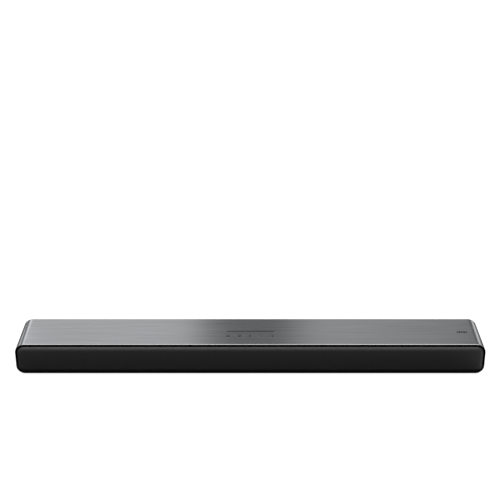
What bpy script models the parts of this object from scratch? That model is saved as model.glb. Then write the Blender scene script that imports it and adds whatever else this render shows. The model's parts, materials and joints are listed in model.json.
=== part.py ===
"""A soundbar: a long, low loudspeaker that stands under a television.

Units are metres. X runs along the bar, the front faces -Y, and Z is up from the surface it stands on.
The origin is under the middle of the bar, at the height of the feet's soles.
"""

import math

import bmesh
import bpy
from mathutils import Matrix, Vector

MM = 0.001

# Overall sizes
LENGTH = 810 * MM
HEIGHT = 60 * MM  # from the feet's soles to the top
DEPTH = 95 * MM  # from the grille's face to the rear panel's face
FOOT_PROUD = 2.5 * MM
GRILLE_PROUD = 3 * MM  # how far the grille stands forward of the covers' lip
PANEL_PROUD = 0.5 * MM  # how far the rear panel stands behind the covers' rear edge

# Covers
SHEET = 1.5 * MM  # the metal top cover
TRAY_WALL = 2 * MM  # the moulded bottom cover
TOP_RADIUS = 17 * MM
BOTTOM_RADIUS = 15 * MM
LIP_RADIUS = 1 * MM
SPLIT_UP = 17 * MM  # the split between the covers, above the underside
FIT = 0.3 * MM  # the gap between pieces that meet
SLIDE_FIT = 0.4 * MM  # the gap round a stem that slides
ARC_STEPS = 6
ROUND_POINTS = 10

HALF = LENGTH / 2
FRONT = -DEPTH / 2
REAR = DEPTH / 2
LIP = FRONT + GRILLE_PROUD
SLEEVE_REAR = REAR - PANEL_PROUD
UNDERSIDE = FOOT_PROUD
SPLIT = UNDERSIDE + SPLIT_UP
CEILING = HEIGHT - SHEET  # the top cover's inner face
FLOOR = UNDERSIDE + TRAY_WALL  # the bottom cover's inner face
LINER = max(SHEET, TRAY_WALL) + FIT  # inset of what fits inside both covers
MID_HEIGHT = (UNDERSIDE + HEIGHT) / 2

# Grille: a cloth over a perforated frame, in a dark gap that runs all round it
GAP_TOP = 3.6 * MM
GAP_SIDE = 2.3 * MM
CLOTH = 0.5 * MM
ROLL_DEPTH = 4.5 * MM  # the rolled edge of the face, front to back
ROLL_HEIGHT = 7 * MM
ROLL_STEPS = 4
GRILLE_WALL = 1.8 * MM
SLOT_LENGTH = 42 * MM
SLOT_HEIGHT = 8.6 * MM
SLOT_PITCH = 52 * MM
SLOT_ROW_PITCH = 12.4 * MM
SLOT_ROWS = 3
BEZEL_RECESS = 6 * MM  # behind the lip
BEZEL_PLATE = 2.4 * MM
BEZEL_SKIRT = 2 * MM
BEZEL_LEDGE = 4.2 * MM

# Front baffle, with a woofer and a tweeter at each side in a box of their own
BAFFLE = 3 * MM
BAFFLE_SET_BACK = 13.5 * MM  # behind the lip
WOOFER_FROM_END = 115 * MM
TWEETER_FROM_WOOFER = 94 * MM
BOX_END_GAP = 43 * MM  # from the bar's end to the box, past the covers' rounding
BOX_PAST_TWEETER = 28 * MM
BOX_WALL = 2 * MM
BOX_REAR_GAP = 9.5 * MM
BOX_FLOOR_GAP = 0.6 * MM
BOX_CEILING_GAP = 1 * MM

BAFFLE_FRONT = LIP + BAFFLE_SET_BACK
WOOFER_X = HALF - WOOFER_FROM_END
TWEETER_X = WOOFER_X - TWEETER_FROM_WOOFER
BOX_OUTER_END = HALF - BOX_END_GAP
BOX_INNER_END = TWEETER_X - BOX_PAST_TWEETER
BOX_FRONT = BAFFLE_FRONT + BAFFLE + FIT
BOX_REAR = REAR - BOX_REAR_GAP

# Racetrack woofers. Each outline is two half circles and the same straight run
WOOFER_STRAIGHT = 31 * MM  # half the straight run
WOOFER_FLANGE_RADIUS = 24 * MM
WOOFER_OPENING_RADIUS = 19.5 * MM
WOOFER_CONE_RADIUS = 13.5 * MM
WOOFER_FLANGE = 1.5 * MM
GASKET = 1 * MM
GASKET_WIDTH = 3.5 * MM
BASKET_DEPTH = 16 * MM
BASKET_WALL = 1.2 * MM
BASKET_SHOULDER = 5 * MM
COIL_RADIUS = 10 * MM
COIL_WALL = 0.6 * MM
COIL_GAP = 0.8 * MM  # to the magnet's pole on one side and its plate on the other
COIL_REACH = 5 * MM  # into the magnet
CONE_WALL = 0.6 * MM
CONE_DEPTH = 8 * MM
SURROUND = 0.5 * MM
SURROUND_STEPS = 4
SPIDER = 0.5 * MM
SPIDER_WAVE = 0.8 * MM
SPIDER_WAVES = 4
MAGNET_RADIUS = 17 * MM
MAGNET_DEPTH = 14 * MM
MAGNET_PLATE = 3 * MM
MAGNET_STEP = 2 * MM
COIL_WELL = 10 * MM
RACETRACK_POINTS = 24

# Dome tweeters
TWEETER_FLANGE_RADIUS = 20 * MM
TWEETER_FLANGE = 2 * MM
TWEETER_CUP_RADIUS = 13 * MM
TWEETER_CUP_DEPTH = 14 * MM
DOME_RADIUS = 10 * MM
DOME_RISE = 3.7 * MM
DOME_COIL = 4 * MM
DOME_GAP = 0.6 * MM
DOME_SHELF = 3 * MM
TWEETER_POINTS = 16

RECEIVER_EYE_RADIUS = 2.4 * MM

# Keys in the top, and the light line behind them
KEYS = ("power", "input", "play", "volume_down", "volume_up")
KEY_PITCH = 19.3 * MM
KEY_BEHIND_LIP = 29.7 * MM
KEY_LENGTH = 14.4 * MM
KEY_WIDTH = 9.4 * MM
KEY_CORNER = 1.6 * MM
KEY_EDGE = 0.25 * MM
KEY_FLANGE = 1.1 * MM
KEY_TRAVEL = 0.5 * MM
KEY_STEM_RADIUS = 1.7 * MM
FLANGE_THICK = 1 * MM
GUIDE_PLATE = 1.2 * MM
GUIDE_MARGIN = 4 * MM
GUIDE_POST_RADIUS = 2 * MM
LIGHT_BEHIND_LIP = 46.4 * MM
LIGHT_LENGTH = 82.4 * MM
LIGHT_WIDTH = 1.9 * MM
LIGHT_BLADE = 1.2 * MM
BOARD = 1.6 * MM
CONTROL_BOARD_DROP = 12.4 * MM  # from the top to the board under the keys
SWITCH_SIDE = 6 * MM
SWITCH_HEIGHT = 3.6 * MM
STEM_IN_SWITCH = 1.6 * MM

KEY_ROW = LIP + KEY_BEHIND_LIP
LIGHT_ROW = LIP + LIGHT_BEHIND_LIP
FLANGE_TOP = CEILING - FIT
FLANGE_LOW = FLANGE_TOP - FLANGE_THICK
CONTROL_BOARD_TOP = HEIGHT - CONTROL_BOARD_DROP
SWITCH_TOP = CONTROL_BOARD_TOP + SWITCH_HEIGHT

# Connector bay in the rear, and the two boards in front of it
PANEL = 2.5 * MM
BAY_HALF = 110 * MM
BAY_HEIGHT = 34.5 * MM
BAY_WALL = 1.5 * MM
BAY_DEPTH = 18.5 * MM
BAY_CORNER = 3 * MM
BOARD_LIFT = 4.5 * MM  # the boards' underside, above the floor
BOARD_DEPTH = 48 * MM
BOARD_TO_BAY = 3.5 * MM
POWER_BOARD_X = (-138 * MM, -20 * MM)
MAIN_BOARD_X = (-12 * MM, 138 * MM)
STANDOFF_RADIUS = 3 * MM
STANDOFF_INSET = 6 * MM
SOCKET_PROUD = 1 * MM  # of the bay's floor

BAY_FLOOR = REAR - BAY_DEPTH
BAY_FRONT = BAY_FLOOR - BAY_WALL
BAY_BACK = REAR - PANEL - FIT
BOARD_UNDERSIDE = FLOOR + BOARD_LIFT
BOARD_TOP = BOARD_UNDERSIDE + BOARD
BOARD_REAR = BAY_FRONT - BOARD_TO_BAY
BOARD_FRONT = BOARD_REAR - BOARD_DEPTH
ON_BOARD = BOARD_TOP + FIT
BAY_LOW = BOARD_UNDERSIDE + BAY_WALL - MM
SOCKET_FACE = BAY_FLOOR + SOCKET_PROUD

# Sockets: middle along X, width, height and length
MAINS_INLET = (-85 * MM, 22 * MM, 15 * MM, 22 * MM)
HDMI_SOCKET = (30 * MM, 15 * MM, 6.2 * MM, 13 * MM)
USB_SOCKET = (60 * MM, 14.4 * MM, 7.2 * MM, 15 * MM)
OPTICAL_SOCKET = (92 * MM, 11 * MM, 11 * MM, 15 * MM)
SOCKETS = (MAINS_INLET, HDMI_SOCKET, USB_SOCKET, OPTICAL_SOCKET)
INLET_WELL = 14 * MM
PIN_RADIUS = 1.2 * MM
PIN_SPREAD = 4.3 * MM
TONGUE_SET_BACK = 1.5 * MM
SHUTTER_WELL = 9 * MM
SHUTTER_WELL_DEPTH = 12 * MM
SHUTTER = 0.8 * MM
SHUTTER_SET_BACK = 0.6 * MM

# Wall hangers
HANGER_FROM_END = 105 * MM
HANGER_UP = 34 * MM
HANGER_WIDTH = 34 * MM
HANGER_HEIGHT = 36 * MM
HANGER_SHEET = 1.5 * MM
HANGER_WINDOW = (15 * MM, 26 * MM)
KEYHOLE_RADIUS = 4.6 * MM
KEYHOLE_SLOT_RADIUS = 2.5 * MM
KEYHOLE_DROP = 8 * MM
HANGER_X = HALF - HANGER_FROM_END

# Screws, feet and leads
END_SCREW_INSET = 25 * MM
END_SCREW_Y = 5 * MM
BAY_SCREW_INSET = 6 * MM  # from the speaker box
BAY_SCREW_Y = (-15 * MM, 30 * MM)
SCREW_HEAD_RADIUS = 3.1 * MM
SCREW_HEAD = 2 * MM
SCREW_RADIUS = 1.5 * MM
SCREW_LENGTH = 14 * MM
SCREW_SINK = 3.4 * MM  # the counterbore's depth
PILLAR_RADIUS = 3.5 * MM
PILOT_SPARE = 5 * MM
BOSS_RADIUS = 5.5 * MM
BOSS_HEIGHT = 6 * MM
FOOT_FROM_END = 75 * MM
FOOT_INSET = 17.5 * MM  # from the covers' front and rear edges
FOOT_LENGTH = 40 * MM
FOOT_WIDTH = 12 * MM
FOOT_SUNK = 1 * MM
FOOT_EDGE = 0.8 * MM
LEAD_RADIUS = 1.2 * MM
LEAD_HOLE_BACK = 7 * MM  # behind the baffle's front
LEAD_HOLE_UP = 8.5 * MM  # above the floor

SCREW_SEAT = UNDERSIDE + SCREW_SINK - FIT
LEAD_HOLE = (BAFFLE_FRONT + LEAD_HOLE_BACK, FLOOR + LEAD_HOLE_UP)

SIDES = (("left", -1), ("right", 1))


# ---------------------------------------------------------------- materials


def material(name, colour, roughness, metallic=0.0):
    """A Principled BSDF of one colour, made once."""
    found = bpy.data.materials.get(name)
    if found:
        return found
    made = bpy.data.materials.new(name)
    made.use_nodes = True
    shader = made.node_tree.nodes["Principled BSDF"]
    shader.inputs["Base Color"].default_value = (*colour, 1.0)
    shader.inputs["Roughness"].default_value = roughness
    shader.inputs["Metallic"].default_value = metallic
    made.diffuse_color = (*colour, 1.0)
    return made


def brushed_metal():
    return material("brushed_metal", (0.36, 0.365, 0.375), 0.35, 1.0)


def black_plastic():
    return material("black_plastic", (0.012, 0.012, 0.013), 0.5)


def black_cloth():
    return material("black_cloth", (0.01, 0.01, 0.01), 0.95)


def smoked_lens():
    return material("smoked_lens", (0.01, 0.01, 0.012), 0.15)


def black_rubber():
    return material("black_rubber", (0.02, 0.02, 0.02), 0.85)


def foam():
    return material("foam", (0.03, 0.03, 0.03), 0.95)


def cone_paper():
    return material("cone_paper", (0.03, 0.03, 0.032), 0.8)


def treated_cotton():
    return material("treated_cotton", (0.55, 0.4, 0.16), 0.9)


def dome_silk():
    return material("dome_silk", (0.05, 0.05, 0.055), 0.6)


def steel():
    return material("steel", (0.55, 0.55, 0.56), 0.35, 1.0)


def aluminium():
    return material("aluminium", (0.6, 0.6, 0.61), 0.4, 1.0)


def circuit_board():
    return material("circuit_board", (0.02, 0.13, 0.05), 0.45)


def component_black():
    return material("component_black", (0.015, 0.015, 0.016), 0.4)


def lead_jacket():
    return material("lead_jacket", (0.25, 0.02, 0.02), 0.5)


# ---------------------------------------------------------------- outlines


def arc(centre, radius, start, end, steps):
    """Points round an arc, both ends included. Angles are in degrees, counterclockwise."""
    points = []
    for step in range(steps + 1):
        angle = math.radians(start + (end - start) * step / steps)
        points.append((centre[0] + radius * math.cos(angle), centre[1] + radius * math.sin(angle)))
    return points


def rounded_outline(low, high, radius_low, radius_high, steps=ARC_STEPS):
    """A rectangle between two corners, with one radius on its lower corners and one on its upper."""
    right_low = arc((high[0] - radius_low, low[1] + radius_low), radius_low, -90, 0, steps)
    right_high = arc((high[0] - radius_high, high[1] - radius_high), radius_high, 0, 90, steps)
    left_high = arc((low[0] + radius_high, high[1] - radius_high), radius_high, 90, 180, steps)
    left_low = arc((low[0] + radius_low, low[1] + radius_low), radius_low, 180, 270, steps)
    return right_low + right_high + left_high + left_low


def centred_outline(width, height, radius, steps=2):
    """A rounded rectangle about the origin."""
    low = (-width / 2, -height / 2)
    high = (width / 2, height / 2)
    return rounded_outline(low, high, radius, radius, steps)


def bar_outline(inset_side, inset_top, inset_bottom):
    """The bar's front outline, moved in by these distances, with its corners tightened to match."""
    low = (-HALF + inset_side, UNDERSIDE + inset_bottom)
    high = (HALF - inset_side, HEIGHT - inset_top)
    radius_low = BOTTOM_RADIUS - max(inset_side, inset_bottom)
    radius_high = TOP_RADIUS - max(inset_side, inset_top)
    return rounded_outline(low, high, radius_low, radius_high)


def racetrack(straight, radius, points=RACETRACK_POINTS):
    """Two half circles joined by straight runs. With no straight run it is a circle."""
    outline = []
    for step in range(points):
        angle = 2 * math.pi * (step + 0.5) / points
        x = radius * math.cos(angle) + math.copysign(straight, math.cos(angle))
        outline.append((x, radius * math.sin(angle)))
    return outline


def circle(radius, points=ROUND_POINTS):
    return racetrack(0.0, radius, points)


def turned(outline, degrees):
    """An outline turned about the origin."""
    turn = Matrix.Rotation(math.radians(degrees), 2)
    return [tuple(turn @ Vector(point)) for point in outline]


def upright(outline, y, centre=(0.0, 0.0)):
    """An outline's points in a plane across Y."""
    return [(centre[0] + x, y, centre[1] + z) for x, z in outline]


def level(outline, z, centre=(0.0, 0.0)):
    """An outline's points in a level plane."""
    return [(centre[0] + x, centre[1] + y, z) for x, y in outline]


# ---------------------------------------------------------------- solids


def strips(rings, closed=False):
    """A shape that joins rings of as many points by strips of faces. A ring of one point is a pole.

    An open shape gets a face over each end. A closed one joins its last ring to its first.
    """

    def build(mesh):
        made = [[mesh.verts.new(point) for point in ring] for ring in rings]
        pairs = list(zip(made, made[1:]))
        if closed:
            pairs.append((made[-1], made[0]))
        faces = []
        for first, second in pairs:
            count = max(len(first), len(second))
            for index in range(count):
                after = (index + 1) % count
                corners = [first[index % len(first)], first[after % len(first)]]
                corners += [second[after % len(second)], second[index % len(second)]]
                faces.append(mesh.faces.new(list(dict.fromkeys(corners))))
        if not closed:
            faces += [mesh.faces.new(ring) for ring in (made[0], made[-1]) if len(ring) > 2]
        bmesh.ops.recalc_face_normals(mesh, faces=faces)

    return build


def prism(outline, front, rear, centre=(0.0, 0.0)):
    """An upright outline, run from front to rear."""
    return strips([upright(outline, front, centre), upright(outline, rear, centre)])


def slab(outline, low, high, centre=(0.0, 0.0)):
    """A level outline, run from low to high."""
    return strips([level(outline, low, centre), level(outline, high, centre)])


def block(low, high):
    corners = [(low[0], low[1]), (high[0], low[1]), (high[0], high[1]), (low[0], high[1])]
    return slab(corners, low[2], high[2])


def post(centre, radius, low, high):
    return slab(circle(radius), low, high, centre)


def rod(centre, radius, front, rear):
    return prism(circle(radius), front, rear, centre)


def make(name, finish, *shapes, at=(0.0, 0.0, 0.0), parent=None):
    """An object of these shapes, which are drawn about the place it stands at."""
    mesh = bmesh.new()
    for shape in shapes:
        shape(mesh)
    data = bpy.data.meshes.new(name)
    mesh.to_mesh(data)
    mesh.free()
    data.shade_smooth()
    data.set_sharp_from_angle(angle=math.radians(35))
    made = bpy.data.objects.new(name, data)
    made.location = at
    made.parent = parent
    bpy.context.scene.collection.objects.link(made)
    if finish:
        data.materials.append(finish)
    return made


def make_holder(name, at):
    """An empty that a group of pieces is placed by."""
    holder = bpy.data.objects.new(name, None)
    holder.location = at
    bpy.context.scene.collection.objects.link(holder)
    return holder


def combine(target, operation, name, shapes):
    """A Boolean of the target with helper shapes, which stay in the scene as hidden wires."""
    helper = make(f"{target.name}_{name}", None, *shapes, at=target.location, parent=target.parent)
    helper.hide_render = True
    helper.display_type = "WIRE"
    modifier = target.modifiers.new(name, "BOOLEAN")
    modifier.operation = operation
    modifier.object = helper


def cut(target, name, shapes):
    combine(target, "DIFFERENCE", name, shapes)


def join(target, name, shapes):
    combine(target, "UNION", name, shapes)


# ---------------------------------------------------------------- covers


def folded_sheet(name, finish, outer, inner):
    """A sheet that follows an open outline across Y, with its outer front and rear edges rounded."""
    wall = math.dist(outer[0], inner[0])
    edge = arc((LIP_RADIUS, LIP_RADIUS), LIP_RADIUS, 180, 270, 3)
    section = [(LIP + along, inwards) for along, inwards in edge]
    section += [(SLEEVE_REAR - along, inwards) for along, inwards in reversed(edge)]
    section += [(SLEEVE_REAR, wall), (LIP, wall)]
    rings = []
    for (outer_x, outer_z), (inner_x, inner_z) in zip(outer, inner):
        normal = Vector((inner_x - outer_x, 0, inner_z - outer_z)) / wall
        rings.append([Vector((outer_x, y, outer_z)) + normal * inwards for y, inwards in section])
    return make(name, finish, strips(rings))


def top_path(inset):
    """From the right end of the split, over the top, to the left end."""
    radius = TOP_RADIUS - inset
    path = [(HALF - inset, SPLIT + FIT / 2)]
    path += arc((HALF - TOP_RADIUS, HEIGHT - TOP_RADIUS), radius, 0, 90, ARC_STEPS)
    path += arc((-HALF + TOP_RADIUS, HEIGHT - TOP_RADIUS), radius, 90, 180, ARC_STEPS)
    return path + [(-HALF + inset, SPLIT + FIT / 2)]


def bottom_path(inset):
    """From the left end of the split, under the bar, to the right end."""
    radius = BOTTOM_RADIUS - inset
    path = [(-HALF + inset, SPLIT - FIT / 2)]
    path += arc((-HALF + BOTTOM_RADIUS, UNDERSIDE + BOTTOM_RADIUS), radius, 180, 270, ARC_STEPS)
    path += arc((HALF - BOTTOM_RADIUS, UNDERSIDE + BOTTOM_RADIUS), radius, 270, 360, ARC_STEPS)
    return path + [(HALF - inset, SPLIT - FIT / 2)]


def screw_places():
    """One screw near each end, and two beside each speaker box."""
    places = []
    for _, sign in SIDES:
        places.append((sign * (HALF - END_SCREW_INSET), END_SCREW_Y))
        places += [(sign * (BOX_INNER_END - BAY_SCREW_INSET), y) for y in BAY_SCREW_Y]
    return places


def key_places():
    middle = (len(KEYS) - 1) / 2
    return [((index - middle) * KEY_PITCH, KEY_ROW) for index in range(len(KEYS))]


def key_outline(grown=0.0):
    width, height = KEY_LENGTH + 2 * grown, KEY_WIDTH + 2 * grown
    return centred_outline(width, height, KEY_CORNER + grown, 3)


def light_outline(grown=0.0):
    straight = (LIGHT_LENGTH - LIGHT_WIDTH) / 2
    return racetrack(straight, LIGHT_WIDTH / 2 + grown, ROUND_POINTS)


def foot_outline(grown=0.0):
    straight = (FOOT_LENGTH - FOOT_WIDTH) / 2
    return racetrack(straight, FOOT_WIDTH / 2 + grown, 16)


def foot_places():
    places = {}
    for side, sign in SIDES:
        places[f"foot_front_{side}"] = (sign * (HALF - FOOT_FROM_END), LIP + FOOT_INSET)
        places[f"foot_rear_{side}"] = (sign * (HALF - FOOT_FROM_END), SLEEVE_REAR - FOOT_INSET)
    return places


def standoff_places():
    places = []
    for low_x, high_x in (POWER_BOARD_X, MAIN_BOARD_X):
        for x in (low_x + STANDOFF_INSET, high_x - STANDOFF_INSET):
            places += [(x, BOARD_FRONT + STANDOFF_INSET), (x, BOARD_REAR - STANDOFF_INSET)]
    return places


def top_cover():
    cover = folded_sheet("top_cover", brushed_metal(), top_path(0.0), top_path(SHEET))
    below, above = CEILING - SHEET, HEIGHT + SHEET
    holes = [slab(key_outline(FIT), below, above, place) for place in key_places()]
    holes.append(slab(light_outline(FIT), below, above, (0.0, LIGHT_ROW)))
    cut(cover, "key_holes", holes)
    foot = UNDERSIDE + BOSS_HEIGHT + FIT
    head = CEILING + SHEET / 2
    join(cover, "pillars", [post(at, PILLAR_RADIUS, foot, head) for at in screw_places()])
    end = SCREW_SEAT + SCREW_LENGTH + PILOT_SPARE
    bore = SCREW_RADIUS + FIT
    cut(cover, "pilot_holes", [post(at, bore, foot - MM, end) for at in screw_places()])


def bottom_cover():
    cover = folded_sheet("bottom_cover", black_plastic(), bottom_path(0.0), bottom_path(TRAY_WALL))
    root = UNDERSIDE + TRAY_WALL / 2
    boss_top = UNDERSIDE + BOSS_HEIGHT
    posts = [post(at, BOSS_RADIUS, root, boss_top) for at in screw_places()]
    board_seat = BOARD_UNDERSIDE - FIT
    posts += [post(at, STANDOFF_RADIUS, root, board_seat) for at in standoff_places()]
    join(cover, "posts", posts)
    below = UNDERSIDE - MM
    head = SCREW_HEAD_RADIUS + SLIDE_FIT
    sinks = [post(at, head, below, UNDERSIDE + SCREW_SINK) for at in screw_places()]
    for place in foot_places().values():
        sinks.append(slab(foot_outline(FIT), below, UNDERSIDE + FOOT_SUNK, place))
    cut(cover, "sinks", sinks)
    bore = SCREW_RADIUS + FIT
    cut(cover, "screw_holes", [post(at, bore, below, boss_top + MM) for at in screw_places()])


def cross_outline(reach, half):
    """A plus sign, from its arms' reach and half width."""
    arm = [(half, -reach), (half, -half)]
    outline = []
    for turn in range(4):
        outline += turned(arm, 90 * turn)
    return outline


def screws():
    for number, (x, y) in enumerate(screw_places(), 1):
        rings = [
            level(circle(0.7 * SCREW_HEAD_RADIUS), -SCREW_HEAD),
            level(circle(SCREW_HEAD_RADIUS), -0.6 * SCREW_HEAD),
            level(circle(SCREW_HEAD_RADIUS), 0.0),
            level(circle(SCREW_RADIUS), 0.0),
            level(circle(SCREW_RADIUS), SCREW_LENGTH),
        ]
        name = f"housing_screw_{number}"
        screw = make(name, steel(), strips(rings), at=(x, y, SCREW_SEAT))
        cross = cross_outline(0.55 * SCREW_HEAD_RADIUS, 0.16 * SCREW_HEAD_RADIUS)
        cut(screw, "recess", [slab(cross, -SCREW_HEAD - MM, -0.4 * SCREW_HEAD)])


def feet():
    top = UNDERSIDE + FOOT_SUNK - FIT
    for name, place in foot_places().items():
        rings = [level(foot_outline(-FOOT_EDGE), 0.0), level(foot_outline(), FOOT_EDGE)]
        rings.append(level(foot_outline(), top))
        make(name, black_rubber(), strips(rings), at=(*place, 0.0))


# ---------------------------------------------------------------- grille


def roll_rings(grow, front, back):
    """Rings of a shallow tray that opens to the rear: its skirt, its rolled edge and its face."""
    side = SHEET + GAP_SIDE + grow
    top = SHEET + GAP_TOP + grow
    bottom = TRAY_WALL + GAP_SIDE + grow
    rings = [upright(bar_outline(side, top, bottom), back)]
    for step in range(ROLL_STEPS + 1):
        angle = math.pi / 2 * step / ROLL_STEPS
        inset = (ROLL_HEIGHT - grow) * (1 - math.cos(angle))
        y = front + ROLL_DEPTH * (1 - math.sin(angle))
        rings.append(upright(bar_outline(side + inset, top + inset, bottom + inset), y))
    return rings


def grille_tray(name, finish, wall, grow):
    """A tray with this wall, its outer face this far inside the cloth's."""
    back = LIP + BEZEL_RECESS - FIT
    outer = roll_rings(grow, FRONT + grow, back)
    inner = roll_rings(grow + wall, FRONT + grow + wall, back)
    return make(name, finish, strips(outer[::-1] + inner))


def grille():
    grille_tray("grille_cloth", black_cloth(), CLOTH, 0.0)
    frame = grille_tray("grille_frame", black_plastic(), GRILLE_WALL, CLOTH + FIT)
    edge = SHEET + GAP_SIDE + ROLL_HEIGHT + GRILLE_WALL
    columns = int(2 * (HALF - edge) / SLOT_PITCH)
    half_x, half_z = SLOT_LENGTH / 2, SLOT_HEIGHT / 2
    outline = [(half_x, -half_z), (half_x, half_z), (-half_x, half_z), (-half_x, -half_z)]
    slots = []
    for row in range(SLOT_ROWS):
        z = MID_HEIGHT + (row - (SLOT_ROWS - 1) / 2) * SLOT_ROW_PITCH
        for column in range(columns):
            x = (column - (columns - 1) / 2) * SLOT_PITCH
            slots.append(prism(outline, FRONT - MM, LIP + GRILLE_WALL, (x, z)))
    cut(frame, "slots", slots)


def grille_bezel():
    """The black ring behind the grille: the gap's floor, and a skirt back to the baffle."""
    front = LIP + BEZEL_RECESS
    plate_back = front + BEZEL_PLATE
    back = BAFFLE_FRONT - FIT
    inner = LINER + BEZEL_SKIRT
    ledge = LINER + BEZEL_LEDGE
    corners = [(LINER, front), (LINER, back), (inner, back)]
    corners += [(inner, plate_back), (ledge, plate_back), (ledge, front)]
    rings = [upright(bar_outline(inset, inset, inset), y) for inset, y in corners]
    make("grille_bezel", black_plastic(), strips(rings, closed=True))


# ---------------------------------------------------------------- baffle and boxes


def front_baffle():
    outline = bar_outline(LINER, LINER, LINER)
    back = BAFFLE_FRONT + BAFFLE
    baffle = make("front_baffle", black_plastic(), prism(outline, BAFFLE_FRONT, back))
    through = (BAFFLE_FRONT - MM, back + MM)
    woofer_hole = racetrack(WOOFER_STRAIGHT, WOOFER_OPENING_RADIUS + FIT)
    tweeter_hole = circle(TWEETER_CUP_RADIUS + FIT, TWEETER_POINTS)
    holes = [rod((0.0, MID_HEIGHT), RECEIVER_EYE_RADIUS, *through)]
    for _, sign in SIDES:
        holes.append(prism(woofer_hole, *through, (sign * WOOFER_X, MID_HEIGHT)))
        holes.append(prism(tweeter_hole, *through, (sign * TWEETER_X, MID_HEIGHT)))
    cut(baffle, "driver_holes", holes)


def speaker_boxes():
    length = BOX_OUTER_END - BOX_INNER_END
    low_z = FLOOR + BOX_FLOOR_GAP
    height = CEILING - BOX_CEILING_GAP - low_z
    outer = centred_outline(length, height, BOX_WALL)
    inner = centred_outline(length - 2 * BOX_WALL, height - 2 * BOX_WALL, BOX_WALL / 2)
    rings = [
        upright(inner, BOX_REAR - BOX_WALL),
        upright(inner, BOX_FRONT),
        upright(outer, BOX_FRONT),
        upright(outer, BOX_REAR),
    ]
    middle_x = (BOX_OUTER_END + BOX_INNER_END) / 2
    middle_z = low_z + height / 2
    for side, sign in SIDES:
        place = (sign * middle_x, 0.0, middle_z)
        box = make(f"speaker_box_{side}", black_plastic(), strips(rings), at=place)
        hole = [(y + LEAD_HOLE[0], z + LEAD_HOLE[1]) for y, z in circle(LEAD_RADIUS + 2 * FIT)]
        wall = -sign * length / 2
        drill = [[(x, y, z - middle_z) for y, z in hole] for x in (wall - BOX_WALL, wall + BOX_WALL)]
        if sign < 0:
            drill = drill[::-1]
        cut(box, "lead_hole", [strips(drill)])


# ---------------------------------------------------------------- drivers

# A driver's pieces are drawn about a point on the baffle's front, on the driver's own axis.


def tracks(pairs):
    """Racetrack rings from (radius, y) pairs."""
    return [upright(racetrack(WOOFER_STRAIGHT, radius), y) for radius, y in pairs]


def hoops(pairs, points=RACETRACK_POINTS):
    """Round rings from (radius, y) pairs."""
    return [upright(circle(radius, points), y) for radius, y in pairs]


def woofer(side, sign):
    name = f"woofer_{side}"
    holder = make_holder(name, (sign * WOOFER_X, BAFFLE_FRONT, MID_HEIGHT))
    flange_rear = -GASKET - 2 * FIT
    flange_front = flange_rear - WOOFER_FLANGE
    basket_rear = flange_front + BASKET_DEPTH
    woofer_gasket(name, holder)
    woofer_frame(name, holder, flange_front, flange_rear, basket_rear)
    woofer_magnet(name, holder, basket_rear + FIT)
    woofer_cone(name, holder, flange_front - FIT, basket_rear + FIT + COIL_REACH)
    woofer_surround(name, holder, flange_front - FIT)
    woofer_spider(name, holder, basket_rear - BASKET_WALL - FIT)


def woofer_gasket(name, holder):
    inner = WOOFER_FLANGE_RADIUS - GASKET_WIDTH
    front, rear = -GASKET - FIT, -FIT
    pairs = [(inner, front), (WOOFER_FLANGE_RADIUS, front), (WOOFER_FLANGE_RADIUS, rear)]
    rings = tracks(pairs + [(inner, rear)])
    make(f"{name}_gasket", foam(), strips(rings, closed=True), parent=holder)


def woofer_frame(name, holder, flange_front, flange_rear, basket_rear):
    wall = WOOFER_OPENING_RADIUS - BASKET_WALL
    shoulder = basket_rear - BASKET_SHOULDER
    coil_way = COIL_RADIUS + 2 * COIL_GAP
    outside = [(wall, flange_front), (WOOFER_FLANGE_RADIUS, flange_front)]
    outside += [(WOOFER_FLANGE_RADIUS, flange_rear), (WOOFER_OPENING_RADIUS, flange_rear)]
    outside += [(WOOFER_OPENING_RADIUS, shoulder), (wall, basket_rear)]
    round_hole = [(coil_way, basket_rear), (coil_way, basket_rear - BASKET_WALL)]
    inside = [(wall - BASKET_WALL, basket_rear - BASKET_WALL), (wall, shoulder)]
    rings = tracks(outside) + hoops(round_hole) + tracks(inside)
    frame = make(f"{name}_frame", steel(), strips(rings, closed=True), parent=holder)
    windows = []
    for shift in (-1, 1):
        inner_x, outer_x = COIL_RADIUS / 2, WOOFER_STRAIGHT + 3 * MM
        low_x, high_x = sorted((shift * inner_x, shift * outer_x))
        low = (low_x, flange_rear + 3 * MM, -2 * WOOFER_FLANGE_RADIUS)
        windows.append(block(low, (high_x, shoulder + MM, 2 * WOOFER_FLANGE_RADIUS)))
    cut(frame, "windows", windows)


def woofer_magnet(name, holder, front):
    """A pot with the ring gap that the voice coil moves in."""
    pole = COIL_RADIUS - COIL_WALL - COIL_GAP
    gap = COIL_RADIUS + COIL_GAP
    plate = MAGNET_RADIUS - MAGNET_STEP
    rear = front + MAGNET_DEPTH
    well = front + COIL_WELL
    profile = [(pole, front), (pole, well), (gap, well), (gap, front), (plate, front)]
    profile += [(plate, front + MAGNET_PLATE), (MAGNET_RADIUS, front + MAGNET_PLATE)]
    profile += [(MAGNET_RADIUS, rear - MAGNET_PLATE), (plate, rear - MAGNET_PLATE), (plate, rear)]
    make(f"{name}_magnet", component_black(), strips(hoops(profile)), parent=holder)


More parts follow.
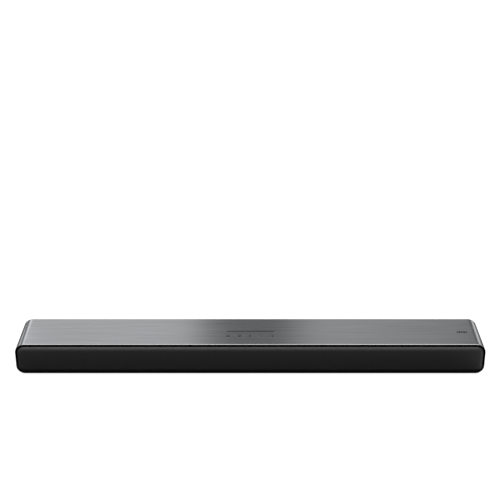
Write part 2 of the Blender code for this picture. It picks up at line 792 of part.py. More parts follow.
def woofer_cone(name, holder, seat, coil_end):
    """The racetrack cone, its round dust cap and the voice coil's tube, which move as one."""
    rim = seat - CONE_WALL
    neck = rim + CONE_DEPTH
    inner = COIL_RADIUS - COIL_WALL
    tube = [(inner, neck), (inner, coil_end), (COIL_RADIUS, coil_end)]
    tube.append((COIL_RADIUS, neck + 2 * CONE_WALL))
    edge = [(WOOFER_CONE_RADIUS, seat), (WOOFER_CONE_RADIUS, rim)]
    cap = [(COIL_RADIUS + 1 * MM, neck - 0.4 * MM), (0.62 * COIL_RADIUS, neck - 2.6 * MM)]
    back_pole = [(0.0, neck - 2.9 * MM, 0.0)]
    front_pole = [(0.0, neck - 3.6 * MM, 0.0)]
    rings = [back_pole, *hoops(tube), *tracks(edge), *hoops(cap), front_pole]
    make(f"{name}_cone", cone_paper(), strips(rings), parent=holder)


def woofer_surround(name, holder, seat):
    """The half roll of rubber from the cone's edge to the flange."""
    inner = WOOFER_CONE_RADIUS + FIT
    outer = WOOFER_OPENING_RADIUS + 2 * FIT
    roll = (outer - inner) / 2
    middle = (outer + inner) / 2
    front_side, back_side = [], []
    for step in range(SURROUND_STEPS + 1):
        angle = math.pi * (1 - step / SURROUND_STEPS)
        along, forward = math.cos(angle), math.sin(angle)
        front_side.append((middle + roll * along, seat - SURROUND - roll * forward))
        within = roll - SURROUND
        back_side.append((middle + within * along, seat - within * forward))
    rim = [(WOOFER_FLANGE_RADIUS, seat - SURROUND), (WOOFER_FLANGE_RADIUS, seat)]
    rings = tracks(front_side + rim + back_side[::-1])
    make(f"{name}_surround", black_rubber(), strips(rings, closed=True), parent=holder)


def woofer_spider(name, holder, seat):
    """The corrugated disc that keeps the voice coil centred."""
    inner = COIL_RADIUS + FIT
    outer = WOOFER_OPENING_RADIUS - 2 * BASKET_WALL - FIT
    middle = seat - SPIDER_WAVE - SPIDER / 2
    front_side, back_side = [], []
    for step in range(SPIDER_WAVES + 1):
        radius = inner + (outer - inner) * step / SPIDER_WAVES
        lift = middle + SPIDER_WAVE * (-1) ** step
        front_side.append((radius, lift - SPIDER / 2))
        back_side.append((radius, lift + SPIDER / 2))
    rings = hoops(front_side + back_side[::-1])
    make(f"{name}_spider", treated_cotton(), strips(rings, closed=True), parent=holder)


def tweeter(side, sign):
    name = f"tweeter_{side}"
    holder = make_holder(name, (sign * TWEETER_X, BAFFLE_FRONT, MID_HEIGHT))
    flange_front = -FIT - TWEETER_FLANGE
    rim = flange_front + 1 * MM
    well = DOME_RADIUS + DOME_GAP
    coil_well = well - DOME_SHELF
    shelf = rim + 1 * MM
    body = [(coil_well, shelf + DOME_COIL + 2 * MM), (coil_well, shelf), (well, shelf), (well, rim)]
    body += [(TWEETER_FLANGE_RADIUS - 4 * MM, flange_front - 1 * MM)]
    body += [(TWEETER_FLANGE_RADIUS, flange_front), (TWEETER_FLANGE_RADIUS, -FIT)]
    body += [(TWEETER_CUP_RADIUS, -FIT), (TWEETER_CUP_RADIUS, TWEETER_CUP_DEPTH - FIT)]
    rings = hoops(body, TWEETER_POINTS)
    make(f"{name}_frame", component_black(), strips(rings), parent=holder)

    coil = coil_well - DOME_GAP
    wall = 0.4 * MM
    shell = [(coil - wall, rim), (coil - wall, rim + DOME_COIL), (coil, rim + DOME_COIL)]
    shell += [(coil, rim + wall), (DOME_RADIUS, rim + wall), (DOME_RADIUS, rim)]
    for share, rise in ((0.85, 0.06), (0.6, 0.65), (0.3, 0.92)):
        shell.append((share * DOME_RADIUS, rim - rise * DOME_RISE))
    back_pole = [(0.0, rim - DOME_RISE + 1 * MM, 0.0)]
    front_pole = [(0.0, rim - DOME_RISE, 0.0)]
    rings = [back_pole, *hoops(shell, TWEETER_POINTS), front_pole]
    make(f"{name}_dome", dome_silk(), strips(rings), parent=holder)


# ---------------------------------------------------------------- keys


def keys():
    """Five key caps flush with the top. Each has a flange under the sheet and a stem to its switch."""
    edge = key_outline()
    stem = turned(circle(KEY_STEM_RADIUS, len(edge)), -90 - 180 / len(edge))
    stem_end = SWITCH_TOP - STEM_IN_SWITCH
    steps = [
        (key_outline(-KEY_EDGE), HEIGHT),
        (edge, HEIGHT - KEY_EDGE),
        (edge, FLANGE_TOP),
        (key_outline(KEY_FLANGE), FLANGE_TOP),
        (key_outline(KEY_FLANGE), FLANGE_LOW),
        (stem, FLANGE_LOW),
        (stem, stem_end),
    ]
    rings = [level(outline, z - HEIGHT) for outline, z in steps]
    for name, place in zip(KEYS, key_places()):
        make(f"key_{name}", brushed_metal(), strips(rings), at=(*place, HEIGHT))


def key_guide():
    """The plate that the stems slide in, on four posts between the top cover and the board."""
    top = FLANGE_LOW - KEY_TRAVEL - FIT
    half_x = len(KEYS) * KEY_PITCH / 2 + GUIDE_MARGIN
    half_y = KEY_WIDTH / 2 + KEY_FLANGE + 2 * MM
    low = (-half_x, KEY_ROW - half_y, top - GUIDE_PLATE)
    guide = make("key_guide", black_plastic(), block(low, (half_x, KEY_ROW + half_y, top)))
    corner = GUIDE_POST_RADIUS + FIT
    posts = []
    for x in (corner - half_x, half_x - corner):
        for y in (KEY_ROW - half_y + corner, KEY_ROW + half_y - corner):
            posts.append(post((x, y), GUIDE_POST_RADIUS, CONTROL_BOARD_TOP + FIT, FLANGE_TOP))
    join(guide, "posts", posts)
    bore = KEY_STEM_RADIUS + SLIDE_FIT
    holes = [post(at, bore, top - GUIDE_PLATE - MM, top + MM) for at in key_places()]
    cut(guide, "stem_holes", holes)


def status_light():
    """The light line: a lens in the top with a flange under it, and a blade down to the board."""
    straight = LIGHT_LENGTH / 2 - 2 * MM
    blade = racetrack(straight, LIGHT_BLADE / 2, ROUND_POINTS)
    steps = [
        (light_outline(), HEIGHT),
        (light_outline(), FLANGE_TOP),
        (light_outline(1 * MM), FLANGE_TOP),
        (light_outline(1 * MM), FLANGE_LOW),
        (blade, FLANGE_LOW),
        (blade, CONTROL_BOARD_TOP + FIT),
    ]
    rings = [level(outline, z - HEIGHT) for outline, z in steps]
    make("status_light_lens", smoked_lens(), strips(rings), at=(0.0, LIGHT_ROW, HEIGHT))


def control_board():
    """The board under the keys, with a switch housing on it below each stem."""
    half_x = len(KEYS) * KEY_PITCH / 2 + 2 * GUIDE_MARGIN
    low = (-half_x, KEY_ROW - 9 * MM, CONTROL_BOARD_TOP - BOARD)
    high = (half_x, LIGHT_ROW + 6 * MM, CONTROL_BOARD_TOP)
    board = make("control_board", circuit_board(), block(low, high))
    half = SWITCH_SIDE / 2
    housings = []
    for x, y in key_places():
        corner = (x - half, y - half, CONTROL_BOARD_TOP - BOARD / 2)
        housings.append(block(corner, (x + half, y + half, SWITCH_TOP)))
    join(board, "switch_housings", housings)
    floor = SWITCH_TOP - STEM_IN_SWITCH - KEY_TRAVEL - FIT
    bore = KEY_STEM_RADIUS + FIT
    cut(board, "switch_wells", [post(at, bore, floor, SWITCH_TOP + MM) for at in key_places()])


# ---------------------------------------------------------------- rear


def bay_outline(grown=0.0):
    low = (-BAY_HALF - grown, BAY_LOW - grown)
    high = (BAY_HALF + grown, BAY_LOW + BAY_HEIGHT + grown)
    return rounded_outline(low, high, BAY_CORNER + grown, BAY_CORNER + grown, 3)


def rear_panel():
    outline = bar_outline(LINER, LINER, LINER)
    panel = make("rear_panel", black_plastic(), prism(outline, REAR - PANEL, REAR))
    through = (REAR - PANEL - MM, REAR + MM)
    openings = [prism(bay_outline(), *through)]
    window = centred_outline(*HANGER_WINDOW, 2 * MM)
    for _, sign in SIDES:
        openings.append(prism(window, *through, (sign * HANGER_X, HANGER_UP)))
    cut(panel, "openings", openings)


def keyhole_outline():
    """A round hole with a narrower slot that runs up from it."""
    meet = math.degrees(math.asin(KEYHOLE_SLOT_RADIUS / KEYHOLE_RADIUS))
    entry = arc((0.0, -KEYHOLE_DROP / 2), KEYHOLE_RADIUS, 90 + meet, 450 - meet, ROUND_POINTS)
    return entry + arc((0.0, KEYHOLE_DROP / 2), KEYHOLE_SLOT_RADIUS, 0, 180, 6)


def wall_hangers():
    plate = centred_outline(HANGER_WIDTH, HANGER_HEIGHT, 3 * MM)
    for side, sign in SIDES:
        place = (sign * HANGER_X, BAY_BACK, HANGER_UP)
        shape = prism(plate, -HANGER_SHEET, 0.0)
        hanger = make(f"wall_hanger_{side}", steel(), shape, at=place)
        cut(hanger, "keyhole", [prism(keyhole_outline(), -HANGER_SHEET - MM, MM)])


def connector_bay():
    """The recess in the rear that the plugs lie in, with a hole in its floor for each socket."""
    rings = [
        upright(bay_outline(), BAY_FLOOR),
        upright(bay_outline(), BAY_BACK),
        upright(bay_outline(BAY_WALL), BAY_BACK),
        upright(bay_outline(BAY_WALL), BAY_FRONT),
    ]
    bay = make("connector_bay", black_plastic(), strips(rings))
    holes = []
    for x, width, height, _ in SOCKETS:
        half = width / 2 + FIT
        low = (x - half, BAY_FRONT - MM, ON_BOARD - FIT)
        holes.append(block(low, (x + half, SOCKET_FACE + MM, ON_BOARD + height + FIT)))
    cut(bay, "socket_holes", holes)


# A socket's pieces are drawn about the middle of its mouth, and its body runs forward from there.


def socket(name, finish, sizes):
    x, width, height, length = sizes
    low = (-width / 2, -length, -height / 2)
    place = (x, SOCKET_FACE, ON_BOARD + height / 2)
    return make(name, finish, block(low, (width / 2, 0.0, height / 2)), at=place)


def tongue(width, low_z, high_z, well_depth):
    """The contact blade that stands up from a socket's floor."""
    low = (-width / 2, -well_depth - MM, low_z)
    return block(low, (width / 2, -TONGUE_SET_BACK, high_z))


def mains_inlet():
    inlet = socket("mains_inlet", component_black(), MAINS_INLET)
    cut(inlet, "well", [prism(racetrack(3.6 * MM, 3.9 * MM, 16), -INLET_WELL, MM)])
    pins = [(-PIN_SPREAD, 0.0), (PIN_SPREAD, 0.0)]
    join(inlet, "pins", [rod(at, PIN_RADIUS, -INLET_WELL - MM, -2 * MM) for at in pins])


def hdmi_socket():
    hdmi = socket("hdmi_socket", steel(), HDMI_SOCKET)
    mouth = [(5.8, -2.3), (7.0, -0.9), (7.0, 2.3), (-7.0, 2.3), (-7.0, -0.9), (-5.8, -2.3)]
    outline = [(x * MM, z * MM) for x, z in mouth]
    cut(hdmi, "well", [prism(outline, -10 * MM, MM)])
    join(hdmi, "tongue", [tongue(10 * MM, -0.4 * MM, 0.6 * MM, 10 * MM)])


def usb_socket():
    usb = socket("usb_socket", steel(), USB_SOCKET)
    cut(usb, "well", [block((-6.4 * MM, -12 * MM, -2.7 * MM), (6.4 * MM, MM, 2.7 * MM))])
    join(usb, "tongue", [tongue(11.2 * MM, 0.3 * MM, 2.1 * MM, 12 * MM)])


def optical_socket():
    """The optical socket, and the flap in its mouth, which turns inwards about its top edge."""
    optical = socket("optical_socket", component_black(), OPTICAL_SOCKET)
    half = SHUTTER_WELL / 2
    cut(optical, "well", [block((-half, -SHUTTER_WELL_DEPTH, -half), (half, MM, half))])
    flap = SHUTTER_WELL - 2 * FIT
    axle = SHUTTER / 2  # the hinge line is this far inside the flap's top and rear faces
    low = (-flap / 2, -axle, axle - flap)
    x, _, height, _ = OPTICAL_SOCKET
    place = (x, SOCKET_FACE - SHUTTER_SET_BACK - axle, ON_BOARD + (height + flap) / 2 - axle)
    make("optical_shutter", component_black(), block(low, (flap / 2, axle, axle)), at=place)


# ---------------------------------------------------------------- electronics


def boards():
    for name, span in (("power_board", POWER_BOARD_X), ("main_board", MAIN_BOARD_X)):
        low = (span[0], BOARD_FRONT, BOARD_UNDERSIDE)
        make(name, circuit_board(), block(low, (span[1], BOARD_REAR, BOARD_TOP)))


def heatsink():
    """A comb of fins over the amplifier."""
    fins, pitch, fin, height, foot = 8, 6.4 * MM, 1.8 * MM, 15 * MM, 3 * MM
    width = (fins - 1) * pitch + fin
    comb = [(width, 0.0), (width, height)]
    for index in range(fins - 1, 0, -1):
        left = index * pitch
        last = left - pitch + fin
        comb += [(left, height), (left, foot), (last, foot), (last, height)]
    comb += [(0.0, height), (0.0, 0.0)]
    place = (60 * MM, BOARD_FRONT + 4 * MM, ON_BOARD)
    make("heatsink", aluminium(), prism(comb, 0.0, 24 * MM), at=place)


def transformer():
    """A ferrite core round a wound bobbin."""
    width, depth, height, leg = 30 * MM, 26 * MM, 22 * MM, 6 * MM
    core_front, core_rear = depth / 2 - 7 * MM, depth / 2 + 7 * MM
    place = (-70 * MM, BOARD_FRONT + 6 * MM, ON_BOARD)
    base = block((0.0, 0.0, 0.0), (width, depth, 5 * MM))
    core = make("transformer", component_black(), base, at=place)
    winding = block((leg + 2 * MM, 0.0, MM), (width - leg - 2 * MM, depth, height - 4 * MM))
    left = block((0.0, core_front, MM), (leg, core_rear, height - 2 * MM))
    right = block((width - leg, core_front, MM), (width, core_rear, height - 2 * MM))
    join(core, "limbs", [winding, left, right])
    join(core, "yoke", [block((0.0, core_front, height - 5 * MM), (width, core_rear, height))])


def wireless_module():
    """The screened radio that talks to the subwoofer."""
    outline = centred_outline(24 * MM, 18 * MM, 1 * MM)
    place = (18 * MM, BOARD_FRONT + 19 * MM, ON_BOARD)
    make("wireless_module", steel(), slab(outline, 0.0, 3.4 * MM), at=place)


def ir_receiver():
    """The remote control's receiver, on the middle of the baffle."""
    half, thick = 3.4 * MM, 3.6 * MM
    body = block((-half, -thick, -half), (half, 0.0, half))
    place = (0.0, BAFFLE_FRONT - FIT, MID_HEIGHT)
    receiver = make("ir_receiver", smoked_lens(), body, at=place)
    eye = [(1.0, 1.0), (1.0, 0.0), (0.8, -0.4), (0.42, -0.62)]
    rings = []
    for share, forward in eye:
        y = forward * RECEIVER_EYE_RADIUS - thick
        rings.append(upright(circle(share * RECEIVER_EYE_RADIUS), y))
    join(receiver, "eye", [strips(rings)])


def smooth_route(points, spacing):
    """Points about this far apart on one smooth curve (Catmull-Rom) through the given ones."""
    points = [Vector(point) for point in points]
    padded = [2 * points[0] - points[1], *points, 2 * points[-1] - points[-2]]
    route = []
    for before, start, end, after in zip(padded, padded[1:], padded[2:], padded[3:]):
        steps = max(1, round((end - start).length / spacing))
        for step in range(steps):
            t = step / steps
            bend = 2 * before - 5 * start + 4 * end - after
            twist = 3 * start - before - 3 * end + after
            route.append(start + 0.5 * t * ((end - before) + t * (bend + t * twist)))
    return route + [points[-1]]


LEAD_ROUTES = {
    "left": (
        (-4, -17, 12.4),
        (-9, -21, 14),
        (-24, -25.4, 13),
        (-80, -26, 12.5),
        (-134, -24.6, 13),
        (-166, -24, 13),
        (-174, -23.4, 13),
        (-187, -13, 14),
        (-246, -8, 21),
    ),
    "right": (
        (44, -21, 12.4),
        (54, -24.5, 14),
        (74, -26, 13),
        (104, -26, 12.5),
        (134, -24.6, 13),
        (166, -24, 13),
        (174, -23.4, 13),
        (187, -13, 14),
        (246, -8, 21),
    ),
}


def speaker_leads():
    """Each lead runs from the main board along the front of the bay into its speaker box."""
    for side, points in LEAD_ROUTES.items():
        name = f"speaker_lead_{side}"
        curve = bpy.data.curves.new(name, "CURVE")
        curve.dimensions = "3D"
        curve.bevel_depth = LEAD_RADIUS
        curve.bevel_resolution = 2
        curve.use_fill_caps = True
        route = smooth_route([Vector(point) * MM for point in points], 7 * MM)
        spline = curve.splines.new("POLY")
        spline.points.add(len(route) - 1)
        for point, place in zip(spline.points, route):
            point.co = (*place, 1.0)
        curve.materials.append(lead_jacket())
        lead = bpy.data.objects.new(name, curve)
        bpy.context.scene.collection.objects.link(lead)


def control_ribbon():
    """The flat lead between the control board and the main board."""
    top = CONTROL_BOARD_TOP - BOARD - FIT
    half_width, half_thick = 7 * MM, 0.4 * MM
    bends = [(0.0, 3 * MM, top), (0.0, 3 * MM, top - 8 * MM)]
    bends += [(0.0, 10 * MM, ON_BOARD + 13 * MM), (0.0, 12 * MM, ON_BOARD)]
    path = smooth_route(bends, 6 * MM)
    front, rear = [], []
    for before, here, after in zip(path[:1] + path, path, path[1:] + path[-1:]):
        across = (after - before).normalized().cross(Vector((1, 0, 0))) * half_thick
        front.append((here + across).yz)
        rear.append((here - across).yz)
    section = front + rear[::-1]
    rings = [[(x, y, z) for y, z in section] for x in (-half_width, half_width)]
    make("control_ribbon", lead_jacket(), strips(rings))


# ---------------------------------------------------------------- assembly


def main():
    for old in list(bpy.data.objects):
        bpy.data.objects.remove(old)
    top_cover()
    bottom_cover()
    screws()
    feet()
    grille()
    grille_bezel()
    front_baffle()
    speaker_boxes()
    for side, sign in SIDES:
        woofer(side, sign)
        tweeter(side, sign)
    keys()
    key_guide()
    status_light()
    control_board()
    rear_panel()
    wall_hangers()
    connector_bay()
    mains_inlet()
    hdmi_socket()
    usb_socket()
    optical_socket()
    boards()
    heatsink()
    transformer()
    wireless_module()
    ir_receiver()
    speaker_leads()
    control_ribbon()


main()
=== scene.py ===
"""Looks of the soundbar: finer covers, grille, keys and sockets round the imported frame, and every finish.

Units are metres, in the frame's own axes: X along the bar, -Y out of its front, Z up.
"""

import json
import math

import bpy
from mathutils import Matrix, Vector

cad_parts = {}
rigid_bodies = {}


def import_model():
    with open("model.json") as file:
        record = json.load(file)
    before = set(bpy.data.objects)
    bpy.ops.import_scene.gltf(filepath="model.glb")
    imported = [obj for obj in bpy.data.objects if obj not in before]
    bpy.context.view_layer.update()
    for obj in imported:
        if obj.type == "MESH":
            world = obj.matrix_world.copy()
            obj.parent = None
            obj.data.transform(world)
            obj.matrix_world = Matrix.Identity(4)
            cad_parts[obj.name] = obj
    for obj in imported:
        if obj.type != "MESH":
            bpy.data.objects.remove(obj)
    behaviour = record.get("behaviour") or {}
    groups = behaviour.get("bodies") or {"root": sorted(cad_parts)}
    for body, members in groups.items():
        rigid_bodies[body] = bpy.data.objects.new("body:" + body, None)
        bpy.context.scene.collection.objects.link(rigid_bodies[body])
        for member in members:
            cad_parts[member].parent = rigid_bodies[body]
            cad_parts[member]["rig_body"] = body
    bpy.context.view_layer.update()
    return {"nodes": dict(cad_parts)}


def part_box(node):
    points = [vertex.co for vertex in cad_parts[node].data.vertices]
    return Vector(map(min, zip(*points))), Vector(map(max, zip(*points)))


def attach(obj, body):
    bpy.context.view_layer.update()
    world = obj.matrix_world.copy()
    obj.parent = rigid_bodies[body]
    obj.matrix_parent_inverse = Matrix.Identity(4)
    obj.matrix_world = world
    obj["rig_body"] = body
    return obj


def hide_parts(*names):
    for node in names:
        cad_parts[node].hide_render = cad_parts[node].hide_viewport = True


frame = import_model()
nodes = frame["nodes"]

MM = 0.001
HOUSING = "housing"
SIDES = ("left", "right")
KEYS = ("power", "input", "play", "volume_down", "volume_up")


# ---------------- places read from the frame


def middle(node):
    low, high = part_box(node)
    return (low + high) / 2


COVER_LOW, COVER_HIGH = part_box("top_cover")
TRAY_LOW, TRAY_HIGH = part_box("bottom_cover")
CLOTH_LOW, CLOTH_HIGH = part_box("grille_cloth")
PANEL_LOW, PANEL_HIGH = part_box("rear_panel")

HALF = COVER_HIGH.x
TOP = COVER_HIGH.z
LIP = COVER_LOW.y
SLEEVE_REAR = COVER_HIGH.y
UNDERSIDE = TRAY_LOW.z
FRONT = CLOTH_LOW.y
REAR = PANEL_HIGH.y
TRAY_TOP = TRAY_HIGH.z

# Sizes that the boxes don't give
TINY = 0.01 * MM
FIT = 0.3 * MM
SHEET = 1.5 * MM
TRAY_WALL = 2 * MM
TOP_RADIUS = 17 * MM
BOTTOM_RADIUS = 15 * MM
LIP_BEVEL = 1.25 * MM
EDGE_BEVEL = 0.5 * MM
COVER_FOOT = TRAY_TOP + FIT
PANEL_INSET = 2.3 * MM
PILLAR_RADIUS = 3.5 * MM
BOSS_RADIUS = 5.5 * MM
STANDOFF_RADIUS = 3 * MM
SCREW_HOLE_RADIUS = 1.8 * MM
SCREW_SINK_RADIUS = 3.5 * MM
SCREW_SINK = 3.4 * MM
PILOT_TOP = 24.6 * MM
LIGHT_SLOT_HALF = (41.2 * MM, 0.95 * MM)
HANGER_OPENING_HALF = (7.5 * MM, 13 * MM)
BOSS_TOP = UNDERSIDE + 6 * MM
FOOT_SUNK = 1 * MM
KEY_FLANGE = 1.1 * MM
KEY_CORNER = 1.6 * MM
KEY_GAP = 0.12 * MM
PRINT = 0.03 * MM
CLOTH = 0.5 * MM
CLOTH_TOP_RADIUS = 11.9 * MM
CLOTH_BOTTOM_RADIUS = 10.7 * MM
ROLL_DEPTH = 4.5 * MM
ROLL_HEIGHT = 7 * MM
ROLL_STEPS = 10

# The badge: its middle, and the half height of each of its bars
BADGE = (370 * MM, -1.0 * MM)
BADGE_REACHES = (2.2 * MM, 3.6 * MM, 2.6 * MM, 3.8 * MM, 2.3 * MM)
BADGE_PITCH = 3.9 * MM
BADGE_HALF_WIDTH = 1.2 * MM
BADGE_CORNER = 0.5 * MM
BADGE_SUNK = 0.2 * MM

WHITE = (1.0, 1.0, 1.0)
FLAT = (0.0, 0.0, 0.0)
UPRIGHT = (math.pi / 2, 0, 0)


# ---------------- modelling helpers


def deselect_all():
    bpy.ops.object.select_all(action="DESELECT")


def activate(piece):
    deselect_all()
    piece.select_set(True)
    bpy.context.view_layer.objects.active = piece


def settle(name):
    """The active object, renamed, with its place put into its mesh."""
    bpy.ops.object.transform_apply(location=True, rotation=True, scale=True)
    piece = bpy.context.object
    piece.name = name
    piece.data.name = name
    return piece


def block(name, low, high):
    """A cuboid between two corners."""
    deselect_all()
    low, high = Vector(low), Vector(high)
    bpy.ops.mesh.primitive_cube_add(size=1, location=(low + high) / 2)
    bpy.context.object.scale = high - low
    return settle(name)


def drum(name, centre, radius, low, high, axis="Z", sides=48):
    """A cylinder along an axis, from low to high on it. The centre's own value on that axis is ignored."""
    deselect_all()
    index = "XYZ".index(axis)
    place = Vector(centre)
    place[index] = (low + high) / 2
    turn = {"X": (0, math.pi / 2, 0), "Y": UPRIGHT, "Z": (0, 0, 0)}[axis]
    bpy.ops.mesh.primitive_cylinder_add(
        vertices=sides, radius=radius, depth=high - low, location=place, rotation=turn
    )
    return settle(name)


def edit(piece, kind, test):
    """Edit mode on a piece, with only those of its edges or faces selected that pass the test.

    An edge's test is given its two ends, and a face's its centre and normal.
    """
    activate(piece)
    mesh = piece.data
    for parts in (mesh.vertices, mesh.edges, mesh.polygons):
        parts.foreach_set("select", [False] * len(parts))
    if kind == "EDGE":
        for part in mesh.edges:
            first, second = (mesh.vertices[index].co for index in part.vertices)
            part.select = test(first, second)
    else:
        for part in mesh.polygons:
            part.select = test(part.center, part.normal)
    bpy.context.tool_settings.mesh_select_mode = (False, kind == "EDGE", kind == "FACE")
    bpy.ops.object.mode_set(mode="EDIT")


def leave():
    bpy.ops.object.mode_set(mode="OBJECT")


def round_edges(piece, test, radius, segments):
    edit(piece, "EDGE", test)
    bpy.ops.mesh.bevel(offset=radius, segments=segments, affect="EDGES")
    leave()


def remove_faces(piece, test):
    edit(piece, "FACE", test)
    bpy.ops.mesh.delete(type="FACE")
    leave()


def along(axis):
    """An edge test: the edge runs along this axis."""
    index = "XYZ".index(axis)
    return lambda first, second: abs((second - first).normalized()[index]) > 0.999


def apply(piece, name):
    activate(piece)
    bpy.ops.object.modifier_apply(modifier=name)


def thicken(piece, wall):
    """Gives a skin its wall, inwards from where its faces point."""
    modifier = piece.modifiers.new("wall", "SOLIDIFY")
    modifier.thickness = wall
    modifier.offset = -1
    modifier.use_even_offset = True
    apply(piece, "wall")


def combine(piece, other, operation):
    """A Boolean of a piece with another, which is used up."""
    modifier = piece.modifiers.new("combine", "BOOLEAN")
    modifier.operation = operation
    modifier.object = other
    modifier.solver = "EXACT"
    apply(piece, "combine")
    bpy.data.objects.remove(other)


def cut(piece, other):
    combine(piece, other, "DIFFERENCE")


def merge(pieces, name):
    """Several pieces as one object."""
    activate(pieces[0])
    for piece in pieces[1:]:
        piece.select_set(True)
    bpy.ops.object.join()
    merged = bpy.context.object
    merged.name = name
    merged.data.name = name
    return merged


def smooth(piece, angle=30):
    activate(piece)
    bpy.ops.object.shade_smooth_by_angle(angle=math.radians(angle))


def finish_piece(piece, finish, body=HOUSING, replaced=()):
    """Gives a finished piece its look and its body, and hides the nodes that it stands for."""
    piece.data.materials.clear()
    piece.data.materials.append(finish)
    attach(piece, body)
    if replaced:
        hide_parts(*replaced)
    return piece


# ---------------- shader helpers


def new_group(name, inputs, outputs):
    """A shader node group, a graph to build it on, what it is given and what it gives out.

    An input is a number with its default, or a vector where that is None.
    """
    group = bpy.data.node_groups.new(name, "ShaderNodeTree")
    for label, value in inputs:
        kind = "NodeSocketVector" if value is None else "NodeSocketFloat"
        socket = group.interface.new_socket(label, in_out="INPUT", socket_type=kind)
        if value is not None:
            socket.default_value = value
    for label in outputs:
        group.interface.new_socket(label, in_out="OUTPUT", socket_type="NodeSocketFloat")
    given = group.nodes.new("NodeGroupInput")
    result = group.nodes.new("NodeGroupOutput")
    return group, Graph(group), given.outputs, result.inputs


class Graph:
    """Adds and links nodes in one node tree."""

    def __init__(self, tree):
        self.tree = tree

    def node(self, kind, values=(), **settings):
        made = self.tree.nodes.new(f"ShaderNode{kind}")
        for name, value in settings.items():
            setattr(made, name, value)
        for name, value in dict(values).items():
            self.feed(made.inputs[name], value)
        return made

    def feed(self, socket, value):
        if isinstance(value, bpy.types.NodeSocket):
            self.tree.links.new(value, socket)
        else:
            socket.default_value = value

    def math(self, operation, first, second=0.0):
        made = self.node("Math", operation=operation)
        self.feed(made.inputs[0], first)
        self.feed(made.inputs[1], second)
        return made.outputs[0]

    def times(self, first, second):
        return self.math("MULTIPLY", first, second)

    def mix(self, share, first, second):
        """A mix of two colours."""
        made = self.node("Mix", data_type="RGBA")
        self.feed(made.inputs[0], share)
        self.feed(made.inputs[6], first)
        self.feed(made.inputs[7], second)
        return made.outputs[2]

    def ramp(self, value, low, high, out_low=0.0, out_high=1.0):
        """A value moved from one range to another, and held at its ends."""
        made = self.node("MapRange", clamp=True)
        for index, number in enumerate((value, low, high, out_low, out_high)):
            self.feed(made.inputs[index], number)
        return made.outputs[0]

    def place(self):
        """The piece's own Object coordinates."""
        return self.node("TexCoord").outputs["Object"]

    def scaled(self, scale, offset=FLAT):
        """Object coordinates, times a scale on each axis."""
        mapping = self.node("Mapping", {"Vector": self.place(), "Scale": scale, "Location": offset})
        return mapping.outputs[0]

    def noise(self, vector, scale, detail=2.0, roughness=0.5):
        values = {"Vector": vector, "Scale": scale, "Detail": detail, "Roughness": roughness}
        return self.node("TexNoise", values).outputs["Fac"]

    def bump(self, height, distance, strength):
        values = {"Height": height, "Distance": distance, "Strength": strength}
        return self.node("Bump", values).outputs[0]

    def surface(self, shader, colour, roughness, normal):
        """Feeds the three sockets that nearly every finish varies."""
        self.feed(shader.inputs["Base Color"], colour)
        self.feed(shader.inputs["Roughness"], roughness)
        self.feed(shader.inputs["Normal"], normal)


def grey(value):
    return (value, value, value, 1.0)


def shade(colour, share):
    """A colour made darker or lighter, with its alpha."""
    return tuple(part * share for part in colour) + (1.0,)


def new_material(name, **plain):
    """A material with one Principled shader, its plain values set, and a graph to build on."""
    made = bpy.data.materials.new(name)
    made.use_nodes = True
    shader = made.node_tree.nodes["Principled BSDF"]
    for label, value in plain.items():
        shader.inputs[label.replace("_", " ")].default_value = value
    return made, shader, Graph(made.node_tree)


def place_group(graph, group, **values):
    """Places a group in a material with its own values. What it gives out is returned."""
    made = graph.tree.nodes.new("ShaderNodeGroup")
    made.node_tree = group
    for label, value in values.items():
        graph.feed(made.inputs[label.replace("_", " ")], value)
    return made.outputs


def surface_life_group():
    """Handling patches in the roughness, and specks of dust on what faces up, for any hard surface."""
    group, graph, given, result = new_group(
        "surface_life",
        [("Roughness", 0.5), ("Spread", 0.06), ("Patch Scale", 25.0)],
        ["Roughness", "Dust"],
    )
    place = graph.place()
    patches = graph.noise(place, given["Patch Scale"], 4.0, 0.55)
    specks = graph.noise(place, 900.0, 2.0, 0.6)
    centred = graph.math("SUBTRACT", patches, 0.5)
    spread = graph.times(centred, given["Spread"])
    graph.feed(result["Roughness"], graph.math("ADD", given["Roughness"], spread))
    rare = graph.ramp(specks, 0.66, 0.74)
    upward = graph.node("SeparateXYZ", {"Vector": graph.node("NewGeometry").outputs["Normal"]})
    level = graph.ramp(upward.outputs["Z"], 0.5, 1.0)
    graph.feed(result["Dust"], graph.times(rare, level))
    return group


def brushed_group():
    """Fine streaks along X, as a height, a tone and a roughness."""
    group, graph, given, result = new_group(
        "brushed_streaks",
        [("Pitch", 3200.0), ("Depth", 1.0)],
        ["Height", "Tone", "Roughness"],
    )
    fine = graph.noise(graph.scaled((0.012, 1.0, 1.0)), given["Pitch"], 3.0, 0.6)
    broad = graph.noise(graph.scaled((0.02, 1.0, 1.0), (3.1, 1.7, 0.4)), 420.0, 3.0, 0.6)
    rare = graph.noise(graph.scaled((0.035, 1.0, 1.0), (0.7, 5.2, 2.2)), 900.0, 1.0, 0.4)
    scratch = graph.ramp(rare, 0.62, 0.74)
    height = graph.math("ADD", graph.times(fine, 0.6), graph.times(broad, 0.4))
    height = graph.math("SUBTRACT", height, graph.times(scratch, 0.35))
    graph.feed(result["Height"], graph.times(height, given["Depth"]))
    tone = graph.math("ADD", graph.times(broad, 0.7), graph.times(fine, 0.3))
    graph.feed(result["Tone"], tone)
    graph.feed(result["Roughness"], graph.ramp(tone, 0.3, 0.7))
    return group


